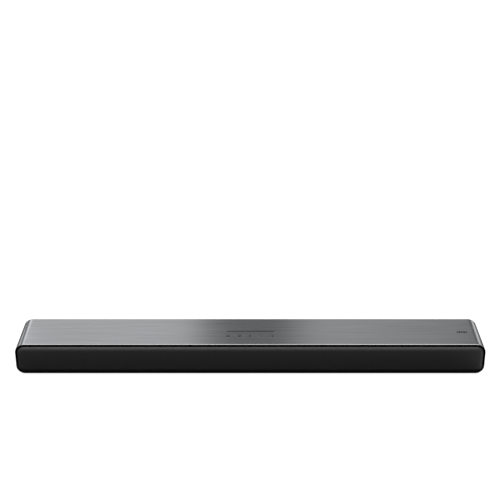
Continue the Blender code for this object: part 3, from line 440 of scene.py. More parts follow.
def weave_group():
    """A plain weave on a vector's X and Y: over and under yarns with a gap between."""
    group, graph, given, result = new_group(
        "plain_weave", [("Vector", None), ("Pitch", 1400.0)], ["Height", "Gap", "Yarn"]
    )
    across = graph.node("SeparateXYZ", {"Vector": given["Vector"]})
    turns = []
    for axis in ("X", "Y"):
        turns.append(graph.times(across.outputs[axis], given["Pitch"]))
    waves = []
    for turn in turns:
        wave = graph.math("SINE", graph.times(turn, math.pi))
        waves.append(graph.math("ABSOLUTE", wave))
    cells = [graph.math("FLOOR", turn) for turn in turns]
    parity = graph.math("MODULO", graph.math("ADD", cells[0], cells[1]), 2.0)
    over = graph.math("ABSOLUTE", parity)
    warp = graph.times(waves[0], over)
    weft = graph.times(waves[1], graph.math("SUBTRACT", 1.0, over))
    crown = graph.math("ADD", warp, weft)
    narrow = graph.times(waves[0], waves[1])
    height = graph.math("ADD", graph.times(crown, 0.6), graph.times(narrow, 0.4))
    graph.feed(result["Height"], height)
    graph.feed(result["Gap"], graph.ramp(narrow, 0.02, 0.25, 1.0, 0.0))
    slub = graph.noise(given["Vector"], 260.0, 3.0, 0.6)
    graph.feed(result["Yarn"], slub)
    return group


def grain_group():
    """The fine spark-eroded grain of a moulding."""
    group, graph, given, result = new_group("moulded_grain", [("Scale", 1800.0)], ["Height"])
    place = graph.place()
    fine = graph.noise(place, given["Scale"], 2.0, 0.5)
    half = graph.times(given["Scale"], 0.4)
    broad = graph.noise(place, half, 1.0, 0.5)
    graph.feed(result["Height"], graph.math("ADD", fine, broad))
    return group


SURFACE_LIFE = surface_life_group()
BRUSHED = brushed_group()
WEAVE = weave_group()
GRAIN = grain_group()


# ---------------- materials


def brushed_metal():
    """Dark grey anodised aluminium, brushed along the bar."""
    made, shader, graph = new_material("brushed_metal", Metallic=1.0)
    streaks = place_group(graph, BRUSHED)
    life = place_group(graph, SURFACE_LIFE, Roughness=0.1, Spread=0.03, Patch_Scale=9.0)
    colour = graph.mix(streaks["Tone"], (0.25, 0.256, 0.267, 1.0), (0.55, 0.558, 0.572, 1.0))
    dusty = graph.times(life["Dust"], 0.25)
    extra = graph.times(streaks["Roughness"], 0.08)
    graph.surface(
        shader,
        graph.mix(dusty, colour, grey(0.6)),
        graph.math("ADD", life["Roughness"], extra),
        graph.bump(streaks["Height"], 0.00005, 0.8),
    )
    return made


def moulded(
    name, tone, roughness=0.46, grain=1800.0, depth=0.00002, tint=WHITE, dust=0.4, specular=0.5
):
    """A moulded plastic or rubber, with its mould's grain, handling patches and a little dust."""
    made, shader, graph = new_material(name, Specular_IOR_Level=specular)
    life = place_group(graph, SURFACE_LIFE, Roughness=roughness, Spread=0.12, Patch_Scale=14.0)
    texture = place_group(graph, GRAIN, Scale=grain)
    pigment = tuple(tone * part for part in tint)
    tones = graph.noise(graph.place(), 40.0, 3.0)
    dusty = graph.times(life["Dust"], dust)
    mottled = graph.mix(tones, shade(pigment, 0.85), shade(pigment, 1.2))
    colour = graph.mix(dusty, mottled, grey(0.14))
    graph.surface(
        shader,
        colour,
        life["Roughness"],
        graph.bump(texture["Height"], depth, 0.8),
    )
    return made


def woven(
    name, thread, pitch, place="UV", turn=FLAT, specular=0.35, depth=0.00015, sheen=0.1, rough=0.5
):
    """A cloth of one thread colour. It is laid by the piece's own map, or flat across the front."""
    made, shader, graph = new_material(
        name, Specular_IOR_Level=specular, Sheen_Weight=sheen, Sheen_Roughness=0.3
    )
    vector = graph.node("TexCoord").outputs[place]
    laid = graph.node("Mapping", {"Vector": vector, "Rotation": turn}).outputs[0]
    weave = place_group(graph, WEAVE, Vector=laid, Pitch=pitch)
    yarn = graph.ramp(weave["Yarn"], 0.3, 0.7)
    threads = graph.mix(yarn, shade(thread, 0.7), shade(thread, 1.3))
    colour = graph.mix(weave["Gap"], threads, shade(thread, 0.15))
    graph.surface(
        shader,
        colour,
        graph.ramp(weave["Gap"], 0.0, 1.0, rough, 0.9),
        graph.bump(weave["Height"], depth, 0.7),
    )
    return made


def smoked_lens():
    """Smoked plastic over the status lights, dark while they are off."""
    made, shader, graph = new_material("smoked_lens", Specular_IOR_Level=0.05)
    life = place_group(graph, SURFACE_LIFE, Roughness=0.5, Spread=0.1, Patch_Scale=30.0)
    place = graph.place()
    depth = graph.noise(place, 160.0, 2.0)
    graph.feed(shader.inputs["Base Color"], graph.mix(depth, grey(0.002), (0.006, 0.006, 0.008, 1.0)))
    graph.feed(shader.inputs["Roughness"], life["Roughness"])
    return made


def plated(name, colour, roughness=0.32, cloud=60.0, spread=0.12):
    """A plated or plain metal with a cloudy finish."""
    made, shader, graph = new_material(name, Metallic=1.0)
    life = place_group(graph, SURFACE_LIFE, Roughness=roughness, Spread=spread, Patch_Scale=cloud)
    texture = place_group(graph, GRAIN, Scale=700.0)
    clouds = graph.noise(graph.place(), cloud * 2, 4.0, 0.6)
    cloudy = graph.mix(clouds, shade(colour, 0.8), shade(colour, 1.1))
    graph.surface(
        shader,
        cloudy,
        life["Roughness"],
        graph.bump(texture["Height"], 0.00001, 0.6),
    )
    return made


def extruded_aluminium():
    made, shader, graph = new_material("aluminium", Metallic=1.0)
    streaks = place_group(graph, BRUSHED, Pitch=1500.0)
    life = place_group(graph, SURFACE_LIFE, Roughness=0.34, Spread=0.1, Patch_Scale=40.0)
    colour = graph.mix(streaks["Tone"], grey(0.5), grey(0.66))
    graph.surface(
        shader,
        colour,
        life["Roughness"],
        graph.bump(streaks["Height"], 0.00004, 0.7),
    )
    return made


def circuit_board():
    """Green solder mask over copper tracks, with tinned pads."""
    made, shader, graph = new_material("circuit_board", Coat_Weight=0.35, Coat_Roughness=0.2)
    place = graph.place()
    values = {"Vector": place, "Scale": 260.0, "Randomness": 0.35}
    cells = graph.node("TexVoronoi", values, feature="DISTANCE_TO_EDGE", distance="MANHATTAN")
    track = graph.ramp(cells.outputs["Distance"], 0.03, 0.06, 1.0, 0.0)
    spread = graph.noise(place, 70.0, 2.0)
    present = graph.times(track, graph.ramp(spread, 0.42, 0.5))
    dots = graph.node("TexVoronoi", {"Vector": place, "Scale": 420.0, "Randomness": 0.6})
    pad = graph.ramp(dots.outputs["Distance"], 0.12, 0.16, 1.0, 0.0)
    pads = graph.times(pad, graph.ramp(spread, 0.55, 0.6))
    mask = graph.mix(present, (0.006, 0.055, 0.02, 1.0), (0.03, 0.15, 0.05, 1.0))
    graph.feed(shader.inputs["Metallic"], pads)
    tinned = graph.mix(pads, mask, (0.6, 0.58, 0.52, 1.0))
    height = graph.math("ADD", present, pads)
    graph.surface(
        shader,
        tinned,
        graph.ramp(spread, 0.0, 1.0, 0.3, 0.5),
        graph.bump(height, 0.00004, 0.6),
    )
    return made


def fibrous(name, tone, scale=500.0, depth=0.00006, roughness=0.85):
    """Pressed paper fibre."""
    made, shader, graph = new_material(name, Sheen_Weight=0.1)
    place = graph.place()
    values = {"Vector": place, "Scale": scale, "Detail": 6.0, "Roughness": 0.7, "Distortion": 1.6}
    fibre = graph.node("TexNoise", values).outputs["Fac"]
    spread = graph.ramp(fibre, 0.3, 0.7)
    graph.surface(
        shader,
        graph.mix(spread, grey(tone * 0.7), grey(tone * 1.5)),
        graph.ramp(fibre, 0.3, 0.7, roughness, roughness - 0.15),
        graph.bump(fibre, depth, 0.8),
    )
    return made


def foam():
    made, shader, graph = new_material("foam")
    place = graph.place()
    cells = graph.node("TexVoronoi", {"Vector": place, "Scale": 1700.0}).outputs["Distance"]
    pore = graph.ramp(cells, 0.1, 0.6)
    graph.surface(
        shader,
        graph.mix(pore, grey(0.008), grey(0.04)),
        graph.ramp(cells, 0.0, 0.8, 0.98, 0.85),
        graph.bump(cells, 0.0002, 0.9),
    )
    return made


def ferrite():
    made, shader, graph = new_material("magnet", Metallic=0.35)
    place = graph.place()
    chips = graph.ramp(graph.noise(place, 240.0, 4.0, 0.7), 0.6, 0.7)
    ground = graph.noise(place, 900.0, 3.0)
    colour = graph.mix(ground, grey(0.025), grey(0.045))
    graph.surface(
        shader,
        graph.mix(chips, colour, grey(0.09)),
        graph.ramp(ground, 0.3, 0.7, 0.4, 0.6),
        graph.bump(ground, 0.00003, 0.8),
    )
    return made


METAL = brushed_metal()
PLASTIC = moulded("black_plastic", 0.012)
# Near-black, darker than the black plastic, as painted shade: it stands for the shade in the gap round the
# grille and darkens the cover's front edge
PAINTED_SHADE_BLACK = moulded("painted_shade_black", 0.002, 0.8, 2400.0, 0.00002, dust=0.01, specular=0.04)
CLOTH_THREAD = (0.004, 0.004, 0.0042)
CLOTH_BLACK = woven(
    "grille_cloth", CLOTH_THREAD, 1400.0, specular=1.0, depth=0.00012, rough=0.4, sheen=0.0
)
SPIDER_COTTON = woven("spider_cotton", (0.5, 0.33, 0.11), 1100.0, "Object", UPRIGHT, 0.2)
DOME_SILK = woven("dome_silk", (0.035, 0.035, 0.04), 2600.0, "Object", UPRIGHT, 0.6, 0.00005)
LENS = smoked_lens()
RUBBER = moulded("rubber", 0.02, 0.78, 1100.0, 0.00005)
SURROUND_RUBBER = moulded("surround_rubber", 0.014, 0.55, 1500.0, 0.00003)
STEEL = plated("zinc_steel", (0.56, 0.56, 0.57))
SCREW_BLACK = plated("blackened_screw", (0.06, 0.06, 0.065), 0.4)
BASKET = moulded("basket_steel", 0.02, 0.5, 2600.0, 0.00004)
GOLD = plated("gold_contact", (0.85, 0.6, 0.22), 0.22, 90.0)
TIN = plated("tinned_lead", (0.62, 0.62, 0.6), 0.3, 120.0)
COPPER = plated("copper_winding", (0.72, 0.32, 0.14), 0.35, 300.0)
ALUMINIUM = extruded_aluminium()
BOARD = circuit_board()
CHIP_BLACK = moulded("component_black", 0.015, 0.4, 3000.0, 0.00001)
JACKET = moulded("lead_jacket", 0.25, 0.42, 900.0, 0.00002, (1.0, 0.07, 0.06))
SLEEVE_BLUE = moulded("capacitor_sleeve", 0.05, 0.3, 900.0, 0.00001, (0.25, 0.45, 1.0))
CONE = fibrous("cone_paper", 0.025)
FOAM = foam()
FERRITE = ferrite()
INK = moulded("key_ink", 0.003, 0.6, 3000.0, 0.00001, dust=0.05, specular=0.08)
LABEL = moulded("blank_label", 0.05, 0.35, 2000.0, 0.00001)


# ---------------- studio

# Cards on the floor: near corner, far corner and brightness of each
BOUNCE_RISE = 0.5 * MM
BOUNCES = (
    ("studio_bounce_front", (-1.2, -0.9), (1.2, -0.13), 0.25),
    ("studio_bounce_right", (0.41, -0.11), (0.8, 0.03), 0.6),
    ("studio_bounce_left", (-0.8, -0.11), (-0.41, 0.03), 0.15),
)

# How bright the reflector behind the bar is, from its left end to its right
REFLECTOR = (
    (0.0, 0.12), (0.075, 0.12), (0.09, 1.0), (0.115, 1.0), (0.128, 0.2),
    (0.16, 0.2), (0.18, 1.3), (0.246, 1.35), (0.262, 0.84), (0.405, 0.83),
    (0.43, 0.79), (0.46, 0.38), (0.478, 0.27), (0.53, 0.26), (0.555, 0.49),
    (0.575, 0.59), (0.61, 0.57), (0.66, 0.52), (0.73, 0.43), (0.755, 0.26),
    (0.84, 0.22), (0.862, 1.1), (0.895, 1.1), (0.91, 0.15), (1.0, 0.12),
)


def plane(name, place, width, depth, turn=FLAT):
    deselect_all()
    bpy.ops.mesh.primitive_plane_add(size=1, location=place, rotation=turn)
    bpy.context.object.scale = (width, depth, 1)
    return settle(name)


def finish_card(card, glow):
    """Gives a card its glow. It is seen only in gloss."""
    card.data.materials.append(glow)
    card.visible_camera = False
    card.visible_shadow = False
    card.visible_diffuse = False


def set_reflector():
    """A tall card behind the bar, seen only in gloss. It grades the metal top from end to end."""
    width, low, high, back = 2.6, 0.03, 1.7, 1.0
    card = plane("studio_reflector", (0.0, back, (low + high) / 2), width, high - low, UPRIGHT)
    made = bpy.data.materials.new("studio_reflector")
    made.use_nodes = True
    tree = made.node_tree
    tree.nodes.remove(tree.nodes["Principled BSDF"])
    graph = Graph(tree)
    across = graph.node("SeparateXYZ", {"Vector": graph.place()}).outputs["X"]
    share = graph.ramp(across, -width / 2, width / 2)
    ramp = graph.node("ValToRGB", {"Fac": share})
    stops = ramp.color_ramp.elements
    stops[0].position, stops[1].position = REFLECTOR[0][0], REFLECTOR[-1][0]
    stops[0].color, stops[1].color = grey(REFLECTOR[0][1]), grey(REFLECTOR[-1][1])
    for position, value in REFLECTOR[1:-1]:
        stops.new(position).color = grey(value)
    glow = graph.node("Emission", {"Color": ramp.outputs[0], "Strength": 1.0})
    output = tree.nodes["Material Output"]
    graph.feed(output.inputs["Surface"], glow.outputs[0])
    finish_card(card, made)


def set_floor():
    deselect_all()
    bpy.ops.mesh.primitive_plane_add(size=16.0, location=(0, 0, 0))
    floor = settle("studio_floor")
    made, shader, graph = new_material(
        "studio_floor",
        Roughness=0.95,
        Specular_IOR_Level=0.1,
        Emission_Color=grey(1.0),
        Emission_Strength=0.9,
    )
    mottle = graph.noise(graph.place(), 2.0, 3.0)
    graph.feed(shader.inputs["Base Color"], graph.mix(mottle, grey(0.24), grey(0.26)))
    floor.data.materials.append(made)
    floor.visible_diffuse = False
    floor.visible_glossy = False


def set_bounces():
    """Low cards on the floor, seen only in gloss, for the light that the floor throws on the grille."""
    for name, low, high, glow in BOUNCES:
        place = ((low[0] + high[0]) / 2, (low[1] + high[1]) / 2, BOUNCE_RISE)
        card = plane(name, place, high[0] - low[0], high[1] - low[1])
        made = new_material(
            name,
            Base_Color=grey(0.0),
            Specular_IOR_Level=0.0,
            Emission_Color=grey(1.0),
            Emission_Strength=glow,
        )[0]
        finish_card(card, made)


def set_studio():
    world = bpy.data.worlds.new("studio")
    bpy.context.scene.world = world
    world.use_nodes = True
    background = world.node_tree.nodes["Background"]
    background.inputs["Color"].default_value = grey(1.0)
    graph = Graph(world.node_tree)
    toward = graph.node("TexCoord").outputs["Generated"]
    height = graph.node("SeparateXYZ", {"Vector": toward}).outputs["Z"]
    graph.feed(background.inputs["Strength"], graph.ramp(height, -0.4, 0.3, 0.01, 0.6))
    bpy.context.scene.view_settings.view_transform = "Standard"
    deselect_all()
    bpy.ops.object.light_add(type="SUN", location=(0, 0, 3))
    sky = bpy.context.object
    sky.name = "overhead_sky"
    sky.data.energy = 2.2
    sky.data.angle = math.radians(70)
    set_floor()
    set_reflector()
    set_bounces()


def set_camera():
    data = bpy.data.cameras.new("camera")
    data.lens = 80.21
    data.sensor_width = 36.0
    camera = bpy.data.objects.new("camera", data)
    camera.location = (-0.0005, -1.7055, 1.0146)
    camera.rotation_euler = (math.radians(64.964), 0.0, 0.0)
    bpy.context.scene.collection.objects.link(camera)
    bpy.context.scene.camera = camera


# ---------------- shapes that repeat


def weigh_normals(piece, angle=30):
    """Smooths a piece's rounds and keeps its flats flat."""
    smooth(piece, angle)
    modifier = piece.modifiers.new("flats", "WEIGHTED_NORMAL")
    modifier.mode = "FACE_AREA"
    modifier.weight = 80
    modifier.keep_sharp = True
    apply(piece, "flats")


def tablet(name, low, high, radius, segments=4, axis="Z"):
    """A block with its four edges along an axis rounded."""
    made = block(name, low, high)
    round_edges(made, along(axis), radius, segments)
    return made


def stadium(name, low, high, segments=12):
    """A block lying along X with round ends."""
    radius = min(high[0] - low[0], high[1] - low[1]) / 2
    return tablet(name, low, high, radius - TINY, segments)


def drums(name, places, radius, low, high, sides=40):
    """The same upright cylinder at each place, as one object."""
    pieces = [drum(name, (x, y, 0), radius, low, high, sides=sides) for x, y in places]
    return merge(pieces, name)


def at_rim(first, second):
    """True for the two ends of an edge that runs along a cover's front or rear rim."""
    front = first.y < LIP + TINY and second.y < LIP + TINY
    rear = first.y > SLEEVE_REAR - TINY and second.y > SLEEVE_REAR - TINY
    return front or rear


def depth_in(point, inside, radius):
    """How far a point lies inside a round-cornered outline, this far inside its flat top or bottom."""
    side = HALF - abs(point.x)
    if side < radius and inside < radius:
        return radius - math.hypot(radius - side, radius - inside)
    return min(side, inside)


def top_depth(point):
    return depth_in(point, TOP - point.z, TOP_RADIUS)


def bottom_depth(point):
    return depth_in(point, point.z - UNDERSIDE, BOTTOM_RADIUS)


def round_rim(cover, depth, front_bevel, rear_bevel):
    """Rounds a cover's outer rim at its front and its rear."""
    limit = 0.1 * MM

    def outer(first, second):
        return at_rim(first, second) and depth(first) < limit and depth(second) < limit

    round_edges(cover, lambda a, b: outer(a, b) and a.y < 0, front_bevel, 4)
    round_edges(cover, lambda a, b: outer(a, b) and a.y > 0, rear_bevel, 3)


# ---------------- covers

SCREWS = [f"housing_screw_{number}" for number in range(1, 7)]
FEET = [f"foot_{end}_{side}" for end in ("front", "rear") for side in SIDES]


def key_cap_box(key):
    """A key's cap: its node's box less the flange round it."""
    low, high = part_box(f"key_{key}")
    return (low.x + KEY_FLANGE, low.y + KEY_FLANGE), (high.x - KEY_FLANGE, high.y - KEY_FLANGE)


def badge_blocks(name, grow, low, high):
    """The badge's bars, each grown by the same amount all round."""
    pieces = []
    for index, reach in enumerate(BADGE_REACHES):
        x, y = BADGE[0] + (index - 2) * BADGE_PITCH, BADGE[1]
        corner = Vector((BADGE_HALF_WIDTH + grow, reach + grow))
        near, far = (x - corner.x, y - corner.y, low), (x + corner.x, y + corner.y, high)
        pieces.append(tablet(name, near, far, BADGE_CORNER, 3))
    return merge(pieces, name)


def build_top_cover():
    """A folded sheet with round shoulders, key holes, a light slot and screw pillars."""
    cover = block("top_cover_shell", (-HALF, LIP, COVER_FOOT), (HALF, SLEEVE_REAR, TOP))
    lengthways = along("Y")
    round_edges(cover, lambda a, b: lengthways(a, b) and a.z > TOP - TINY, TOP_RADIUS, 18)
    remove_faces(cover, lambda centre, normal: normal.z < -0.9 or abs(normal.y) > 0.9)
    thicken(cover, SHEET)
    round_rim(cover, top_depth, LIP_BEVEL, EDGE_BEVEL)

    places = [middle(screw).xy for screw in SCREWS]
    combine(cover, drums("pillars", places, PILLAR_RADIUS, BOSS_TOP + FIT, TOP - SHEET / 2), "UNION")
    cut(cover, drums("pilot_holes", places, SCREW_HOLE_RADIUS, BOSS_TOP - MM, PILOT_TOP, 24))

    for key in KEYS:
        low, high = key_cap_box(key)
        near = (low[0] - KEY_GAP, low[1] - KEY_GAP, TOP - 3 * MM)
        far = (high[0] + KEY_GAP, high[1] + KEY_GAP, TOP + MM)
        cut(cover, tablet("key_hole", near, far, KEY_CORNER + KEY_GAP, 5))
    slot_half = Vector((LIGHT_SLOT_HALF[0] + KEY_GAP, LIGHT_SLOT_HALF[1] + KEY_GAP))
    centre = middle("status_light_lens")
    near = (centre.x - slot_half.x, centre.y - slot_half.y, TOP - 3 * MM)
    far = (centre.x + slot_half.x, centre.y + slot_half.y, TOP + MM)
    cut(cover, stadium("light_slot", near, far))
    cut(cover, badge_blocks("badge_pockets", 0.02 * MM, TOP - BADGE_SUNK, TOP + MM))
    weigh_normals(cover)
    finish_piece(cover, METAL, replaced=("top_cover",))
    # The front rim's faces that face forward or sideways take the near-black finish, as painted shade on
    # the lip; those that face up stay bare metal
    cover.data.materials.append(PAINTED_SHADE_BLACK)
    for face in cover.data.polygons:
        forward = face.normal.y < -0.2 and face.center.y < LIP + LIP_BEVEL
        if forward and face.normal.z < 0.6:
            face.material_index = 1

    bars = badge_blocks("top_badge", 0.0, TOP - BADGE_SUNK, TOP - PRINT)
    finish_piece(bars, INK)


def build_bottom_cover():
    """A moulded tray with screw bosses, board standoffs, foot pockets and a blank label's recess."""
    cover = block("bottom_cover_shell", (-HALF, LIP, UNDERSIDE), (HALF, SLEEVE_REAR, TRAY_TOP))
    lengthways = along("Y")
    low_edge = UNDERSIDE + TINY
    round_edges(cover, lambda a, b: lengthways(a, b) and a.z < low_edge, BOTTOM_RADIUS, 16)
    remove_faces(cover, lambda centre, normal: normal.z > 0.9 or abs(normal.y) > 0.9)
    thicken(cover, TRAY_WALL)
    round_rim(cover, bottom_depth, 0.8 * MM, EDGE_BEVEL)

    places = [middle(screw).xy for screw in SCREWS]
    root = UNDERSIDE + TRAY_WALL / 2
    combine(cover, drums("bosses", places, BOSS_RADIUS, root, BOSS_TOP), "UNION")
    standoffs = []
    for board in ("power_board", "main_board"):
        low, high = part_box(board)
        for x in (low.x + 6 * MM, high.x - 6 * MM):
            standoffs += [(x, low.y + 6 * MM), (x, high.y - 6 * MM)]
    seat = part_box("main_board")[0].z - FIT
    combine(cover, drums("standoffs", standoffs, STANDOFF_RADIUS, root, seat), "UNION")
    sink = UNDERSIDE + SCREW_SINK
    cut(cover, drums("screw_sinks", places, SCREW_SINK_RADIUS, UNDERSIDE - MM, sink))
    cut(cover, drums("screw_holes", places, SCREW_HOLE_RADIUS, UNDERSIDE - MM, BOSS_TOP + MM, 24))
    for foot in FEET:
        low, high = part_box(foot)
        near = (low.x - FIT, low.y - FIT, UNDERSIDE - MM)
        far = (high.x + FIT, high.y + FIT, UNDERSIDE + FOOT_SUNK)
        cut(cover, stadium("foot_pocket", near, far))
    low, high = (-46 * MM, -15 * MM, 0), (46 * MM, 17 * MM, UNDERSIDE + 0.3 * MM)
    cut(cover, tablet("label_recess", low, high, 3 * MM))
    weigh_normals(cover)
    finish_piece(cover, PLASTIC, replaced=("bottom_cover",))
    low, high = (-45 * MM, -14 * MM, UNDERSIDE + 0.12 * MM), (45 * MM, 16 * MM, UNDERSIDE + 0.28 * MM)
    finish_piece(tablet("blank_rating_label", low, high, 2 * MM), LABEL)


def build_rear_panel():
    """The rear panel, with eased openings for the connector bay and the two wall hangers."""
    low = (-HALF + PANEL_INSET, PANEL_LOW.y, UNDERSIDE + PANEL_INSET)
    high = (HALF - PANEL_INSET, REAR, TOP - PANEL_INSET)
    panel = block("rear_panel_plate", low, high)
    lengthways = along("Y")
    middle_z = (low[2] + high[2]) / 2
    upper, lower = TOP_RADIUS - PANEL_INSET, BOTTOM_RADIUS - PANEL_INSET
    round_edges(panel, lambda a, b: lengthways(a, b) and a.z > middle_z, upper, 14)
    round_edges(panel, lambda a, b: lengthways(a, b) and a.z < middle_z, lower, 14)
    rear = REAR - TINY
    round_edges(panel, lambda a, b: a.y > rear and b.y > rear, 0.6 * MM, 3)
    bay_low, bay_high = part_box("connector_bay")
    wall = 1.5 * MM
    openings = [((bay_low.x + wall, bay_low.z + wall), (bay_high.x - wall, bay_high.z - wall), 3 * MM)]
    for side in SIDES:
        centre = middle(f"wall_hanger_{side}")
        half = Vector(HANGER_OPENING_HALF)
        near, far = (centre.x - half.x, centre.z - half.y), (centre.x + half.x, centre.z + half.y)
        openings.append((near, far, 2 * MM))
    rounding = 0.5 * MM
    for near, far, radius in openings:
        hole_low, hole_high = (near[0], PANEL_LOW.y - MM, near[1]), (far[0], REAR + MM, far[1])
        cut(panel, tablet("opening", hole_low, hole_high, radius, 6, "Y"))
        wide_low = (near[0] - rounding, REAR - rounding, near[1] - rounding)
        wide_high = (far[0] + rounding, REAR + MM, far[1] + rounding)
        mouth = tablet("mouth", wide_low, wide_high, radius + rounding, 6, "Y")
        inner = REAR - rounding + TINY
        round_edges(mouth, lambda a, b: a.y < inner and b.y < inner, rounding - TINY, 3)
        cut(panel, mouth)
    weigh_normals(panel)
    finish_piece(panel, PLASTIC, replaced=("rear_panel",))


# ---------------- grille


def roll_inset(angle):
    return ROLL_HEIGHT * (1 - math.cos(angle))


def roll_angles():
    return [math.pi / 2 * step / ROLL_STEPS for step in range(ROLL_STEPS + 1)]


def lay_cloth_map(cloth):
    """Lays the cloth's own map as it was cut: flat on the face, and unrolled round the edges."""
    lengths = [0.0]
    angles = roll_angles()[::-1]
    for outer, inner in zip(angles, angles[1:]):
        across = roll_inset(outer) - roll_inset(inner)
        back = ROLL_DEPTH * (math.sin(outer) - math.sin(inner))
        lengths.append(lengths[-1] + math.hypot(across, back))
    by_angle = list(zip(angles, lengths))
    centre_z = (CLOTH_LOW.z + CLOTH_HIGH.z) / 2
    while cloth.data.uv_layers:
        cloth.data.uv_layers.remove(cloth.data.uv_layers[0])
    layer = cloth.data.uv_layers.new(name="cut")
    for loop in cloth.data.loops:
        place = cloth.data.vertices[loop.vertex_index].co
        back = place.y - FRONT
        if back >= ROLL_DEPTH:
            inset, length = 0.0, lengths[-1] + back - ROLL_DEPTH
        else:
            angle = math.asin(min(1.0, (ROLL_DEPTH - back) / ROLL_DEPTH))
            inset = roll_inset(angle)
            length = min(by_angle, key=lambda pair: abs(pair[0] - angle))[1]
        top = place.z > centre_z
        radius = CLOTH_TOP_RADIUS if top else CLOTH_BOTTOM_RADIUS
        corner_z = CLOTH_HIGH.z - radius if top else CLOTH_LOW.z + radius
        corner = Vector((math.copysign(CLOTH_HIGH.x - radius, place.x), corner_z))
        flat = Vector((place.x, place.z))
        out_x = abs(place.x) - abs(corner.x)
        out_z = (place.z - corner_z) * (1 if top else -1)
        if out_x > 0 and out_z > 0:
            outward = (flat - corner).normalized()
        elif out_x > out_z:
            outward = Vector((math.copysign(1, place.x), 0))
        else:
            outward = Vector((0, 1 if top else -1))
        layer.data[loop.index].uv = flat + outward * (length - (ROLL_HEIGHT - inset))
    return lengths[-1]


def build_grille_cloth():
    """Acoustic cloth pulled round the grille frame, with a rolled edge."""
    start = (CLOTH_LOW.x, FRONT + ROLL_DEPTH, CLOTH_LOW.z)
    cloth = block("grille_cloth_cover", start, CLOTH_HIGH)
    lengthways = along("Y")
    centre_z = (CLOTH_LOW.z + CLOTH_HIGH.z) / 2
    round_edges(cloth, lambda a, b: lengthways(a, b) and a.z > centre_z, CLOTH_TOP_RADIUS, 12)
    round_edges(cloth, lambda a, b: lengthways(a, b) and a.z < centre_z, CLOTH_BOTTOM_RADIUS, 12)
    angles = roll_angles()
    front = FRONT + ROLL_DEPTH
    for outer, inner in zip(angles, angles[1:]):
        limit = front + TINY
        edit(cloth, "FACE", lambda centre, normal: normal.y < -0.99 and centre.y < limit)
        step = ROLL_DEPTH * (math.sin(inner) - math.sin(outer))
        across = roll_inset(inner) - roll_inset(outer)
        bpy.ops.mesh.inset(thickness=across, depth=step, use_even_offset=True)
        leave()
        front -= step
    remove_faces(cloth, lambda centre, normal: normal.y > 0.9)
    edge_length = lay_cloth_map(cloth)
    thicken(cloth, CLOTH)
    smooth(cloth, 50)
    finish_piece(cloth, CLOTH_BLACK, replaced=("grille_cloth",))


# ---------------- keys


# A spot is a sign's middle, x and y, and its lower and upper face


def stamp(name, spot, near, far):
    """A block of a sign, between two corners in millimetres from the sign's middle."""
    x, y, low, high = spot
    return block(name, (x + near[0] * MM, y + near[1] * MM, low), (x + far[0] * MM, y + far[1] * MM, high))


def through(spot):
    """The spot made deeper, for a cutter that passes right through a sign."""
    x, y, low, high = spot
    return x, y, low - MM, high + MM


def arrowhead(name, spot, shift, reach):
    """A triangle that points along +X, with its middle moved along X."""
    x, y, low, high = spot
    deselect_all()
    place = (x + shift * MM, y, (low + high) / 2)
    bpy.ops.mesh.primitive_cylinder_add(vertices=3, radius=reach * MM, depth=high - low, location=place)
    bpy.context.object.rotation_euler.z = -math.pi / 2
    return settle(name)


def sign_power(spot):
    x, y, low, high = spot
    ring = drum("power_sign", (x, y, 0), 3.0 * MM, low, high, sides=40)
    cut(ring, drum("hole", (x, y, 0), 1.8 * MM, low - MM, high + MM, sides=40))
    cut(ring, stamp("gap", through(spot), (-1, 0.6), (1, 4)))
    return merge([ring, stamp("bar", spot, (-0.55, -0.2), (0.55, 3.3))], "power_sign")


def sign_input(spot):
    """An arrow into a box that is open on the left."""
    case = stamp("input_sign", spot, (-1.2, -2.5), (3.4, 2.5))
    cut(case, stamp("inner", through(spot), (-2, -1.5), (2.4, 1.5)))
    shaft = stamp("shaft", spot, (-3.4, -0.5), (0.2, 0.5))
    return merge([case, shaft, arrowhead("head", spot, 0.5, 1.4)], "input_sign")


def sign_play(spot):
    return arrowhead("play_sign", spot, -0.2, 3.1)


def sign_volume_down(spot):
    return stamp("volume_down_sign", spot, (-1.9, -0.4), (1.9, 0.4))


def sign_volume_up(spot):
    across = stamp("volume_up_sign", spot, (-2.3, -0.6), (2.3, 0.6))
    combine(across, stamp("upright", spot, (-0.6, -2.3), (0.6, 2.3)), "UNION")
    return across


SIGNS = {
    "power": sign_power,
    "input": sign_input,
    "play": sign_play,
    "volume_down": sign_volume_down,
    "volume_up": sign_volume_up,
}


def build_key(key):
    """A push key: an eased metal cap on its flange and stem, and a printed sign."""
    node = f"key_{key}"
    body = nodes[node]["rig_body"]
    low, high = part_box(node)
    cap_low, cap_high = key_cap_box(key)
    flange_top = TOP - SHEET - FIT
    flange_low = flange_top - MM
    cap_top = TOP - PRINT
    cap = tablet(f"{node}_cap", (*cap_low, flange_top - 0.2 * MM), (*cap_high, cap_top), KEY_CORNER, 5)
    round_edges(cap, lambda a, b: a.z > cap_top - TINY and b.z > cap_top - TINY, 0.08 * MM, 2)
    flange = tablet("flange", (low.x, low.y, flange_low), (high.x, high.y, flange_top), 2.7 * MM, 5)
    combine(cap, flange, "UNION")
    x, y = (cap_low[0] + cap_high[0]) / 2, (cap_low[1] + cap_high[1]) / 2
    combine(cap, drum("stem", (x, y, 0), 1.7 * MM, low.z, flange_low + 0.3 * MM, sides=24), "UNION")
    weigh_normals(cap)
    finish_piece(cap, METAL, body, (node,))
    sign = SIGNS[key]((x, y, TOP - 2 * PRINT, TOP - TINY / 2))
    finish_piece(sign, INK, body)


# ---------------- eased copies of the frame's nodes


